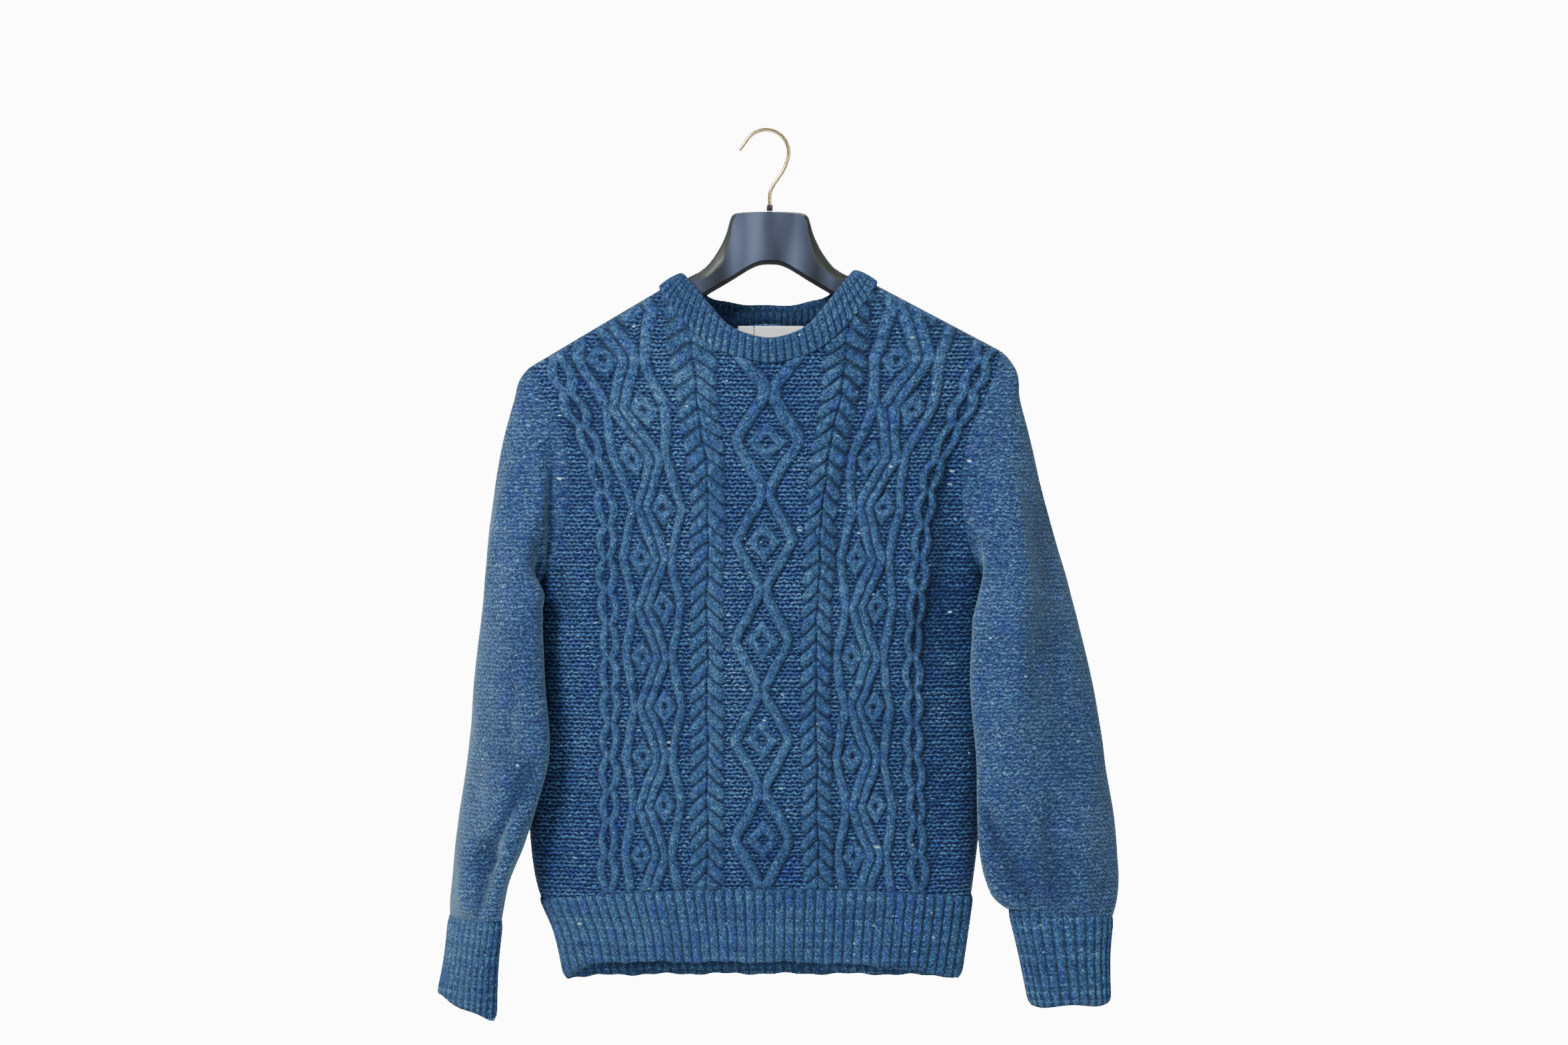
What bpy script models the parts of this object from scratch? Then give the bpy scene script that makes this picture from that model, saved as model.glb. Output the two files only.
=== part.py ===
"""Aran sweater of tweed wool on a moulded hanger, as the panels that a knitter sews up.

The tables are in millimetres and MM turns them into metres. "drop" is how far a point
lies below the seat of the hanger's hook, which is the origin. The front faces -Y, and
+X is the wearer's left. FRONT and BACK are the signs of Y.
"""
import math

import bmesh
import bpy
import numpy as np

MM = 0.001
FRONT, BACK = -1, 1
RIGHT_ARM, LEFT_ARM = -1, 1

# Knitting: one course is a row of stitches, and the cables turn every two courses
WALL = 3.2
COURSE = 3.833
ROW = 2 * COURSE
CABLE_REPEAT = 24 * COURSE
FIRST_CROSSING = 246.0
ROWS_ABOVE_CROSSING = 13
ROWS_BELOW_CROSSING = 60
SEAM_GAP = 0.3
SEWN_GAP = 0.45
CORD_HEIGHT = 3.0
UNDERARM = FIRST_CROSSING + 23 * ROW

# Shoulder ridge, a straight line each side that hangs a little askew
RIDGE_TOP = 88.0 + WALL
RIDGE_SLOPE = 0.5655
RIDGE_TILT = 0.033
RIDGE_ROUND = 20.0
CLOSING = 134.0
SECTION_POWER = 2.5


def columns(names, rows):
    """Rows of a table, split into one curve against the first column for each name."""
    return {name: [(row[0], row[i + 1]) for row in rows] for i, name in enumerate(names)}


# Body: outer edge lines and how deep the front and the back hang from the ridge
BODY = columns(("left_x", "right_x", "front_y", "back_y"), (
    (90, -240, 240, 38, 36),
    (200, -240, 238, 38, 36),
    (223, -238, 234, 38, 36),
    (251, -224, 222, 41, 39),
    (285, -208, 208, 45, 41),
    (322, -203, 203, 47, 42),
    (380, -206, 204, 49, 42),
    (422, -212, 206, 50, 42),
    (560, -214, 204, 47, 42),
    (664, -221, 199, 43, 40),
    (712, -213, 193, 42, 39),
    (748, -198, 188, 39, 37),
    (796, -187, 181, 36, 35),
))
ARMHOLE = columns(("inset",), (
    (200, 14.5),
    (223, 16.5),
    (251, 16.5),
    (285, 17.5),
    (322, 19.0),
    (350, 18.0),
    (380, 14.0),
    (405, 6.5),
    (UNDERARM, 0.0),
))
CHART = columns(("centre", "spread"), (
    (140, 3.5, 1.5),
    (215, 3.5, 1.38),
    (259, 2.5, 1.26),
    (318, 1.0, 1.08),
    (427, -2.5, 1.0),
    (720, -2.5, 1.0),
))

# Neckline below the ridge, by the share of the half width: seam and finished edge
NECK = columns(("front_seam", "back_seam", "front_edge", "back_edge"), (
    (-0.25, 103, 79, 86, 56),
    (0.00, 114, 84, 94, 60),
    (0.25, 103, 79, 86, 56),
    (0.50, 81, 59, 67, 43.5),
    (0.70, 54.5, 38.5, 41, 32),
    (0.86, 28, 19, 19, 16),
    (1.00, 0, 0, 0, 0),
))
NECK_EDGE_HALF = 77.0
NECK_RIBS = 56
NECK_WALL = 5.6
NECK_RIB_HEIGHT = 1.7

# Hem welt and cuffs
WELT_TOP = 706.0
WELT_TOP_SAG = 11.0
FRONT_HEM = 776.0
FRONT_HEM_SAG = 18.0
BACK_HEM = 795.0
WELT_RIBS = 32
CUFF_RIBS = 20
RIB_HEIGHT = 2.2

# Sleeves: outer lines from the shoulder tip down, then level sections
CAP_LINES = {
    RIGHT_ARM: columns(("outer",), ((222, -222.5), (233, -231), (251, -236), (289, -246),
                                    (364, -257), (455, -266))),
    LEFT_ARM: columns(("outer",), ((207, 222.5), (223, 234.5), (251, 238.5), (289, 248),
                                   (364, 267), (455, 291))),
}
SECTION_NAMES = ("outer", "inner", "half_long", "half_short", "middle_y", "slant")
SLEEVES = {
    RIGHT_ARM: columns(SECTION_NAMES, (
        (455, -266, -207, 52, 25, -20, 0),
        (514, -274, -204, 54, 25, -20, 0),
        (589, -281.5, -201, 56, 25, -20, 0),
        (626, -287, -211, 56, 25, -18, 0),
        (664, -292, -223, 55, 24, -16, 0),
        (701, -296, -238, 52, 22, -11, 0),
        (725, -298, -243, 47, 20, -10, 0),
        (736, -298, -245, 42, 17, -9, 0),
    )),
    LEFT_ARM: columns(SECTION_NAMES, (
        (455, 291, 191, 60, 27, -28, 0),
        (514, 304, 189, 62, 27, -28, 0),
        (589, 317, 195, 65, 27, -26, 0),
        (641, 326.5, 196, 69, 26, -21, 0),
        (680, 330, 199, 69, 25, -18, -1),
        (701, 331, 204, 66.5, 24, -16, -2),
        (720, 328.5, 213, 60, 21, -14, -4),
        (731, 325, 226, 51, 17, -12, -5),
    )),
}
CUFFS = {
    RIGHT_ARM: columns(SECTION_NAMES, (
        (736, -298, -245, 42, 17, -9, 0),
        (776, -302, -249.5, 41, 16, -9, 3),
        (819, -309, -251, 42, 16, -9, 9),
    )),
    LEFT_ARM: columns(SECTION_NAMES, (
        (731, 325, 226, 51, 17, -12, -5),
        (767, 321.8, 235.4, 44.5, 16, -12, -2),
        (817, 322, 246, 39, 16, -12, 0),
    )),
}
CAP_RINGS = 6
SLEEVE_RINGS = 8
SLEEVE_COLUMNS = 24
CAP_HOLLOW = 13.0
CAP_PUFF = 9.0
UNDERARM_TWIST = math.radians(30)
# Long soft fold down each sleeve: where it lies round the tube, in degrees
FOLDS = {
    RIGHT_ARM: columns(("turn", "height"), ((270, 40, 0), (340, 40, 2.5), (520, 38, 2.5),
                                            (640, 36, 0))),
    LEFT_ARM: columns(("turn", "height"), ((270, 45, 0), (340, 62, 4), (540, 98, 4),
                                           (620, 105, 0))),
}
FOLD_WIDTH = 15.0

# Hanger
HANGER_X = 3.5
HANGER_GAP = 0.3
HANGER_HALF_DEPTH = 6.5
HANGER_TIP_HALF_DEPTH = 4.0
ARM_REACH = 205.0
ARM_HEIGHT = 24.5
ARM_TIP_HEIGHT = 15.0
COLLAR = columns(("top",), (
    (0, 74.6), (14, 74.9), (27.8, 75.8), (33.4, 77.0), (36.5, 80.0), (40.6, 94.2),
    (46.9, 108.5), (54.1, 119.7), (62.9, 129.3), (76.0, 136.6),
))
ARCH = columns(("under",), ((0, 124.5), (9, 125.0), (15.9, 127.0), (22.3, 131.6), (65.6, 157.0)))
FERRULE_RADIUS = 3.1
FERRULE_HEIGHT = 5.6
WIRE_RADIUS = 1.9
HOOK_RADIUS = 21.3
HOOK_CENTRE = (0.0, WIRE_RADIUS - HOOK_RADIUS)
HOOK_TIP = ((-25.0, -17.4), (-19.8, -10.6))
HOOK_ARC = (136, -18)
HOOK_STEM = ((15.9, -36.8), (10.9, -44.4), (6.2, -51.6), (4.0, -57.0), (3.5, -63.0))

LABEL_SIZE = (62.0, 26.0)
LABEL_CENTRE_X = 4.6
LABEL_THICKNESS = 0.8


def smooth(rows, at):
    """Value at a place on the smooth curve through (place, value) rows, flat past its ends."""
    places, values = np.array(rows, float).T
    slopes = np.gradient(values, places)
    at = np.clip(at, places[0], places[-1])
    left = np.clip(np.searchsorted(places, at, side="right") - 1, 0, len(places) - 2)
    span = places[left + 1] - places[left]
    rise = values[left + 1] - values[left]
    t = (at - places[left]) / span
    lead = slopes[left] * span - rise
    trail = rise - slopes[left + 1] * span
    return values[left] + t * rise + t * (1 - t) * ((1 - t) * lead + t * trail)


def ridge_drop(x):
    """Drop of the shoulder ridge on the cloth's inner face."""
    return RIDGE_TOP + RIDGE_SLOPE * np.hypot(x, RIDGE_ROUND) - RIDGE_TILT * x


def body_surface(side, x, drop):
    """Points on the inner face of the body's cloth, and the way it faces there."""
    x, drop = np.broadcast_arrays(np.asarray(x, float), np.asarray(drop, float))
    right = x > 0
    edge = np.where(right, smooth(BODY["right_x"], drop), -smooth(BODY["left_x"], drop)) - WALL
    depth = smooth(BODY["front_y" if side == FRONT else "back_y"], drop)
    share = np.clip(np.abs(x) / edge, 0, 1)
    across = 1 - share ** SECTION_POWER
    below = np.clip((drop - ridge_drop(x)) / CLOSING, 0, 1)
    opened = np.sqrt(below * (2 - below))
    y = side * np.maximum(depth * opened * across ** (1 / SECTION_POWER), SEAM_GAP / 2)
    upward = across * (1 - below) / CLOSING
    sign = np.where(right, 1.0, -1.0)
    slope = RIDGE_SLOPE * x / np.hypot(x, RIDGE_ROUND) - RIDGE_TILT
    facing = np.stack([
        sign * opened ** 2 * share ** (SECTION_POWER - 1) / edge + upward * slope,
        side * opened * across ** (1 - 1 / SECTION_POWER) / depth,
        upward + 1e-9,
    ], axis=-1)
    facing /= np.linalg.norm(facing, axis=-1, keepdims=True)
    return np.stack([x, y, -drop], axis=-1), facing


def on_body(side, x, drop, out):
    """Points a given way out from the inner face, kept off the seam plane."""
    points, facing = body_surface(side, x, drop)
    points = points + facing * np.asarray(out, float)[..., None]
    points[..., 1] = side * np.maximum(side * points[..., 1], SEAM_GAP / 2)
    return points


def panel_edge(sign, drop):
    """Armhole edge and below it the side seam of the body's panels."""
    name = "right_x" if sign > 0 else "left_x"
    edge = sign * smooth(BODY[name], drop) - WALL
    inset = np.where(drop < UNDERARM, smooth(ARMHOLE["inset"], drop), 0)
    return sign * (edge - np.maximum(inset, 0))


def chart_x(offset, drop):
    """Where a column of the cable chart lies: columns fan out towards the shoulders."""
    return smooth(CHART["centre"], drop) + smooth(CHART["spread"], drop) * offset


PLAIT_EDGES = (-67.0, 65.0)


def neck_corner(offset):
    """Where a plait's outer edge meets the ridge, which is where the neckline starts."""
    drop = 150.0
    for _ in range(40):
        drop = float(ridge_drop(chart_x(offset, drop)))
    return float(chart_x(offset, drop))


NECK_CORNERS = tuple(neck_corner(offset) for offset in PLAIT_EDGES)
NECK_MIDDLE = sum(NECK_CORNERS) / 2
NECK_HALF = (NECK_CORNERS[1] - NECK_CORNERS[0]) / 2


def panel_top(side, x):
    """Drop of a panel's top: the neckline seam between its corners, else the ridge."""
    share = np.clip(np.abs(np.asarray(x, float) - NECK_MIDDLE) / NECK_HALF, 0, 1)
    scoop = smooth(NECK["front_seam" if side == FRONT else "back_seam"], share)
    return ridge_drop(x) + np.maximum(scoop, 0)


def welt_top(x):
    return WELT_TOP + WELT_TOP_SAG * (np.asarray(x, float) / 200) ** 2


def wave(drop, turn_at):
    """Zigzag from 0 at turn_at up to 1 half a cable repeat away, and back."""
    phase = (drop - turn_at) / CABLE_REPEAT % 1
    return 1 - np.abs(2 * phase - 1)


def chain_cable(centre, drop, row):
    """Small chain of lenses, each four rows long: cord, middle, cord, and its outer edge."""
    opening = np.abs(np.sin(row * math.pi / 4))
    cord = 2.8 + 3.4 * opening
    flat = np.zeros_like(drop)
    chain = [(centre - cord, flat + 2.6), (centre + flat, 2.2 - 1.9 * opening),
             (centre + cord, flat + 2.6)]
    edge = [(centre + math.copysign(10.5, centre) + flat, flat)]
    return edge + chain if centre < 0 else chain + edge


def plait(outer, inner, row):
    """Herringbone plait of two lobes that run down and out from its middle groove."""
    centre, half = (outer + inner) / 2, abs(outer - inner) / 2
    lobe = np.where(row % 2 == 0, 3.4, 1.3)
    flat = np.zeros(len(row))
    return [(centre - half + flat, flat), (centre - 0.55 * half + flat, lobe),
            (centre + flat, flat + 0.8),
            (centre + 0.55 * half + flat, lobe), (centre + half + flat, flat)]


def crossed_lattice(drop):
    """Middle lattice: two cords that cross each repeat, round a small raised lozenge."""
    opened = wave(drop, FIRST_CROSSING)
    cord = 3.4 + 22.4 * opened
    inner = np.maximum(cord - 4.4, 1.4)
    from_middle = np.abs(opened - 1) * CABLE_REPEAT / 2
    in_lozenge = from_middle < 17
    lozenge = np.where(in_lozenge, 2 + 9 * (1 - from_middle / 17), 0.5 * inner)
    raised = np.where(in_lozenge, 2.2, 0.2)
    flat = np.zeros_like(drop)
    half = [(flat, np.where(opened < 0.1, 1.8, 0.1)), (lozenge, raised), (inner, flat + 0.3),
            (cord, flat + CORD_HEIGHT), (cord + 4.4, flat)]
    return [(-x, high) for x, high in half[:0:-1]] + half


def zigzag_lattice(centre, drop):
    """Outer lattice: a zigzag double cord, with a cord that closes each diamond."""
    rightward = wave(drop, FIRST_CROSSING + CABLE_REPEAT / 6)
    swing = 8.5 * (2 * rightward - 1)
    left, right = -17.5 - 7.5 * rightward, 17.5 + 7.5 * (1 - rightward)
    flat = np.zeros_like(drop)
    tall = flat + CORD_HEIGHT
    left_mid, right_mid = swing - 4.3, swing + 4.3
    left_field = np.minimum(left + 3.6, (left + left_mid) / 2 - 0.5)
    left_side = np.maximum(swing - 8, (left + left_mid) / 2 + 0.5)
    right_side = np.minimum(swing + 8, (right + right_mid) / 2 - 0.5)
    right_field = np.maximum(right - 3.6, (right + right_mid) / 2 + 0.5)
    places = [(left - 4, flat), (left, tall), (left_field, flat + 0.2), (left_side, flat + 0.2),
              (left_mid, tall), (swing, flat + 1.1), (right_mid, tall),
              (right_side, flat + 0.2), (right_field, flat + 0.2), (right, tall), (right + 4, flat)]
    return [(centre + x, high) for x, high in places]


def cable_columns(drop, row):
    """Every column of the front's chart, right to left of the wearer: offset and height."""
    return (chain_cable(-143, drop, row) + zigzag_lattice(-102, drop)
            + plait(-67, -36, row) + crossed_lattice(drop) + plait(37, 65, row)
            + zigzag_lattice(95.5, drop) + chain_cable(143, drop, row))


MARGIN_SHARES = (0.4, 0.8, 0.95, 1.0)


def front_grid():
    """Outer face of the front: the cable chart's columns, cut off at the panel's top."""
    row = np.arange(-ROWS_ABOVE_CROSSING, ROWS_BELOW_CROSSING + 1)
    drop = FIRST_CROSSING + ROW * row
    drop[-1] = WELT_TOP + WELT_TOP_SAG + 1
    chart = [(chart_x(offset, drop), high) for offset, high in cable_columns(drop, row)]
    flat = np.zeros_like(drop)
    margins = {}
    for sign, (inside, _) in ((-1, chart[0]), (1, chart[-1])):
        edge = panel_edge(sign, drop)
        inside_safe = sign * np.minimum(sign * inside, sign * edge - 2.5)
        margins[sign] = [(inside_safe + share * (edge - inside_safe), flat)
                         for share in MARGIN_SHARES]
        chart[0 if sign < 0 else -1] = (inside_safe, flat)
    everything = margins[-1][::-1] + chart + margins[1]
    x = np.array([place for place, _ in everything]).T
    high = np.array([height for _, height in everything]).T
    return clipped(x, high, drop)


def clipped(x, high, drop):
    """Grid points with each column cut at the panel's top and let down to the welt."""
    rows, width = x.shape
    points = np.zeros((rows, width, 3))
    for column in range(width):
        above = drop < panel_top(FRONT, x[:, column]) + 0.3 * ROW
        first = max(int(np.nonzero(above)[0][-1]), 0) if above.any() else 0
        fine = np.linspace(drop[first] - ROW, drop[first] + ROW, 161)
        fine_x = np.interp(fine, drop, x[:, column])
        over = np.nonzero(fine < panel_top(FRONT, fine_x))[0]
        top = fine[over[-1]] if len(over) else fine[0]
        place = np.where(np.arange(rows) <= first, top, drop)
        place_x = np.interp(place, drop, x[:, column])
        place[-1] = welt_top(place_x[-1])
        place_x[-1] = np.interp(place[-1], drop, x[:, column])
        fade = np.clip((place - top) / ROW, 0, 1) * np.clip((place[-1] - place) / ROW, 0, 1)
        points[:, column] = on_body(FRONT, place_x, place, WALL + high[:, column] * fade)
    return points


PLAIN_ARMHOLE_SHARES = (0, 0.012, 0.045, 0.13, 0.24, 0.35, 0.46, 0.57, 0.68, 0.79, 0.9, 1)
PLAIN_SIDE_SHARES = (0.25, 0.5, 0.75, 0.9, 1)
SHOULDER_SHARES = (0, 0.025, 0.1, 0.27, 0.6, 1)
NECK_COLUMNS = 11
NECK_TURN = 68


def plain_x(drop):
    """Columns of a plain panel: edge to neck corner, across the neck, and out again."""
    left, right = panel_edge(-1, drop), panel_edge(1, drop)
    turn = np.radians(np.linspace(-NECK_TURN, NECK_TURN, NECK_COLUMNS))
    across = NECK_MIDDLE + NECK_HALF * np.sin(turn)
    return ([left + share * (NECK_CORNERS[0] - left) for share in SHOULDER_SHARES]
            + [x + 0 * drop for x in across]
            + [right + share * (NECK_CORNERS[1] - right) for share in SHOULDER_SHARES[::-1]])


def plain_grid(side, out):
    """Plain stockinette sheet of a panel, its rows spread between its top and the welt."""
    fine = np.linspace(120, WELT_TOP + WELT_TOP_SAG + 5, 1200)
    grid = []
    for x in plain_x(fine):
        top = fine[np.nonzero(fine < panel_top(side, x))[0][-1]]
        bottom = fine[np.nonzero(fine < welt_top(x))[0][-1]]
        drops = np.concatenate([
            top + (UNDERARM - top) * np.array(PLAIN_ARMHOLE_SHARES),
            UNDERARM + (bottom - UNDERARM) * np.array(PLAIN_SIDE_SHARES)])
        grid.append(on_body(side, np.interp(drops, fine, x), drops, out + 0 * drops))
    return np.stack(grid, axis=1)


def even_shares(side, drop, count):
    """Places across a section, an equal way apart along its curve."""
    turn = np.linspace(-1, 1, 801) * math.pi / 2
    x = np.where(turn < 0, -panel_edge(-1, drop), panel_edge(1, drop)) * np.sin(turn)
    points, _ = body_surface(side, x, drop)
    along = np.concatenate([[0], np.cumsum(np.linalg.norm(np.diff(points, axis=0), axis=1))])
    return np.interp(np.linspace(0, along[-1], count), along, np.sin(turn))


def share_x(shares, drop):
    return np.where(shares < 0, -panel_edge(-1, drop), panel_edge(1, drop)) * shares


def rib_heights(count, height):
    """Three columns a rib: two on its crest and one in the groove."""
    return np.where(np.arange(count) % 3 == 0, 0.0, height)


def welt_grids(side):
    """Ribbed outer face and plain inner face of one half of the hem."""
    shares = even_shares(side, WELT_TOP, 3 * WELT_RIBS + 1)
    high = rib_heights(len(shares), RIB_HEIGHT)
    plain = shares[::4]
    outer, inner = [], []
    for level in (0, 0.5, 1):
        for places, rise, rows in ((shares, WALL + high, outer), (plain, 0 * plain, inner)):
            top = welt_top(share_x(places, WELT_TOP)) + SEAM_GAP
            sag = FRONT_HEM_SAG * np.abs(places) ** 2.5
            hem = FRONT_HEM + sag if side == FRONT else BACK_HEM + 0 * places
            drop = top + level * (hem - top)
            rows.append(on_body(side, share_x(places, drop), drop, rise))
    return np.array(outer), np.array(inner)


def along_edge(edge, count):
    """Points an even way apart along a polyline."""
    lengths = np.linalg.norm(np.diff(edge, axis=0), axis=1)
    along = np.concatenate([[0], np.cumsum(lengths)])
    places = np.linspace(0, along[-1], count)
    return np.stack([np.interp(places, along, edge[:, i]) for i in range(3)], axis=1)


def distinct(edge):
    """A polyline without points that repeat the one before."""
    keep = np.concatenate([[True], np.linalg.norm(np.diff(edge, axis=0), axis=1) > 1e-6])
    return edge[keep]


def neck_edge(grid):
    """Top edge of a panel's grid from one neck corner to the other."""
    top = grid[0]
    return top[(top[:, 0] > NECK_CORNERS[0] - 2.0) & (top[:, 0] < NECK_CORNERS[1] + 2.0)]


def armhole_edge(grid, sign):
    """Armhole edge of a panel's grid, from the shoulder tip to the underarm."""
    edge = distinct(grid[:, 0 if sign < 0 else -1])
    return edge[edge[:, 2] > -UNDERARM - 0.5]


def around(front_edge, back_edge, count):
    """Closed ring of points along a front edge and back along the matching back edge."""
    half = count // 2
    return np.concatenate([along_edge(front_edge, half + 1)[:-1],
                           along_edge(back_edge, half + 1)[::-1][:-1]])


def neck_ring(name, half_width, out, count):
    """Ring round the neck on the body's surface, a given way below the ridge."""
    parts = []
    for side, way in ((FRONT, 1), (BACK, -1)):
        share = way * np.linspace(-1, 1, count // 2 + 1)[:-1]
        share = np.sin(share * math.pi / 2)
        x = NECK_MIDDLE + half_width * share
        drop = ridge_drop(x) + np.maximum(smooth(NECK[f"{name[side]}"], np.abs(share)), 0)
        parts.append(on_body(side, x, drop, out[:count // 2] if side == FRONT
                             else out[count // 2:]))
    return np.concatenate(parts)


EDGE_NAMES = {FRONT: "front_edge", BACK: "back_edge"}


def neckband_rings(front_inner, back_inner):
    """Folded rib band round the neck, from its seam up to its finished edge."""
    count = 2 * NECK_RIBS
    ribs = np.where(np.arange(count) % 2 == 0, 0.0, NECK_RIB_HEIGHT)
    seam_inner = around(neck_edge(front_inner), neck_edge(back_inner), count)
    facing = np.concatenate([
        body_surface(FRONT, seam_inner[:NECK_RIBS, 0], -seam_inner[:NECK_RIBS, 2])[1],
        body_surface(BACK, seam_inner[NECK_RIBS:, 0], -seam_inner[NECK_RIBS:, 2])[1]])
    top_inner = neck_ring(EDGE_NAMES, NECK_EDGE_HALF, 0.0 * ribs, count)
    top_middle = neck_ring(EDGE_NAMES, NECK_EDGE_HALF - 1.2, 0 * ribs + NECK_WALL / 2, count)
    top_outer = neck_ring(EDGE_NAMES, NECK_EDGE_HALF + 1.0, NECK_WALL + 0.6 * ribs, count)
    rise = top_inner - seam_inner
    rise /= np.linalg.norm(rise, axis=1, keepdims=True)
    seam_inner = seam_inner + rise * SEWN_GAP
    seam_outer = seam_inner + facing * (NECK_WALL + ribs)[:, None]
    middle_outer = (seam_outer + top_outer) / 2 + facing * 0.6
    return [seam_outer, middle_outer, top_outer, top_middle, top_inner, seam_inner]


def tube_section(table, arm, drop, turns, wall):
    """Level section of a sleeve: an ellipse turned in plan to fill its outer and inner lines."""
    outer, inner = smooth(table["outer"], drop), smooth(table["inner"], drop)
    long = smooth(table["half_long"], drop) - wall
    short = smooth(table["half_short"], drop) - wall
    half = abs(outer - inner) / 2 - wall
    cos = math.sqrt(np.clip((half ** 2 - short ** 2) / (long ** 2 - short ** 2), 0, 1))
    sin = math.sqrt(1 - cos ** 2)
    long_axis = np.array([-arm * cos, -sin])
    short_axis = np.array([arm * sin, -cos])
    start = math.atan2(short * sin, -long * cos)
    turns = start - turns - UNDERARM_TWIST * (1 - np.cos(turns)) / 2
    level = (np.cos(turns)[:, None] * long * long_axis
             + np.sin(turns)[:, None] * short * short_axis)
    slant = smooth(table["slant"], drop) * -arm * level[:, 0] / half
    return np.column_stack([(outer + inner) / 2 + level[:, 0],
                            smooth(table["middle_y"], drop) + level[:, 1],
                            -(drop + slant)])


def sleeve_faces(arm, front_outer, front_inner, back_outer, back_inner):
    """Rings of a sleeve's outer and inner face, from the armhole seam to the cuff."""
    count = SLEEVE_COLUMNS
    turns = np.arange(count) * 2 * math.pi / count
    outward = np.array([arm * SEWN_GAP, 0, 0])
    seam_outer = around(armhole_edge(front_outer, arm), armhole_edge(back_outer, arm), count)
    seam_inner = around(armhole_edge(front_inner, arm), armhole_edge(back_inner, arm), count)
    seam_outer, seam_inner = seam_outer + outward, seam_inner + outward
    table = SLEEVES[arm]
    first, last = table["outer"][0][0], table["outer"][-1][0]
    level = tube_section(table, arm, first, turns, WALL)
    over = np.cos(turns / 2) ** 2
    rings = [seam_inner]
    for i in range(1, CAP_RINGS):
        s = i / CAP_RINGS
        down = s ** (1.6 - 0.6 * over)
        z = seam_inner[:, 2] + down * (level[:, 2] - seam_inner[:, 2])
        z += CAP_PUFF * math.sin(math.pi * s) * (1 - over) ** 2
        quick = 1 - (1 - s) ** 2
        line = smooth(CAP_LINES[arm]["outer"], -z[0]) - arm * WALL
        follow = np.clip((line - seam_inner[0, 0]) / (level[0, 0] - seam_inner[0, 0]), 0, 1)
        x_share = over * follow + (1 - over) * quick
        x = seam_inner[:, 0] + x_share * (level[:, 0] - seam_inner[:, 0])
        x += arm * CAP_HOLLOW * math.sin(math.pi * s) * (1 - over)
        y = seam_inner[:, 1] + s ** 1.5 * (level[:, 1] - seam_inner[:, 1])
        rings.append(np.column_stack([x, y, z]))
    for drop in np.linspace(first, last, SLEEVE_RINGS):
        rings.append(tube_section(table, arm, drop, turns, WALL))
    inner = np.array(rings)
    facing = tube_facing(inner, arm)
    facing[-1, :, 2] = 0
    inner = inner + facing * sleeve_fold(arm, inner, turns)[..., None]
    outer = inner + facing * WALL
    outer[0] = seam_outer
    inner[0] = seam_inner
    return outer, inner


def sleeve_fold(arm, rings, turns):
    """How far the long soft fold lifts the cloth."""
    drop = -rings[..., 2]
    turn = np.degrees(turns)[None, :]
    away = (turn - smooth(FOLDS[arm]["turn"], drop)) / FOLD_WIDTH
    return smooth(FOLDS[arm]["height"], drop) * np.exp(-away ** 2)


def tube_facing(rings, arm):
    """Way out of a tube at each point of its rings."""
    round_way = np.roll(rings, -1, axis=1) - np.roll(rings, 1, axis=1)
    down_way = np.gradient(rings, axis=0)
    facing = arm * np.cross(round_way, down_way)
    return facing / np.linalg.norm(facing, axis=-1, keepdims=True)


def cuff_faces(arm):
    """Rings of a cuff: ribbed outside, plain inside."""
    turns = np.arange(3 * CUFF_RIBS) * 2 * math.pi / (3 * CUFF_RIBS)
    table = CUFFS[arm]
    first, last = table["outer"][0][0], table["outer"][-1][0]
    inner = np.array([tube_section(table, arm, drop, turns, WALL)
                      for drop in np.linspace(first, last, 3)])
    inner[0, :, 2] -= SEAM_GAP
    facing = tube_facing(inner, arm)
    facing[..., 2] = 0
    high = WALL + rib_heights(len(turns), RIB_HEIGHT * 0.8)
    return inner + facing * high[None, :, None], inner[::2]


def add_sheet(bm, grid, closed, outward):
    """Faces over a grid of points. Repeated points become one vertex."""
    known = {}
    table = []
    for row in grid:
        line = []
        for point in row:
            key = tuple(np.round(point, 5))
            if key not in known:
                known[key] = bm.verts.new(point * MM)
            line.append(known[key])
        table.append(line)
    width = len(table[0])
    for i in range(len(table) - 1):
        for j in range(width if closed else width - 1):
            k = (j + 1) % width
            corners = list(dict.fromkeys([table[i][j], table[i + 1][j],
                                          table[i + 1][k], table[i][k]]))
            if len(corners) > 2:
                bm.faces.new(corners if outward else corners[::-1])
    return table


def walked(row):
    """Share of a row's length at each of its vertices."""
    steps = [0.0]
    for one, other in zip(row, row[1:]):
        steps.append(steps[-1] + (other.co - one.co).length)
    return [step / steps[-1] for step in steps]


def counted(row):
    """Share of a row's vertices at each of them."""
    return [i / (len(row) - 1) for i in range(len(row))]


def zip_edges(bm, first, second, pace):
    """Triangles between two rows of vertices that start and end beside each other."""
    first, second = list(dict.fromkeys(first)), list(dict.fromkeys(second))
    pace_first, pace_second = pace(first) + [2.0], pace(second) + [2.0]
    i = j = 0
    while i < len(first) - 1 or j < len(second) - 1:
        halfway_first = (pace_first[i] + pace_first[i + 1]) / 2
        halfway_second = (pace_second[j] + pace_second[j + 1]) / 2
        if halfway_first <= halfway_second + 1e-6:
            bm.faces.new((first[i], first[i + 1], second[j]))
            i += 1
        else:
            bm.faces.new((first[i], second[j + 1], second[j]))
            j += 1


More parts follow.
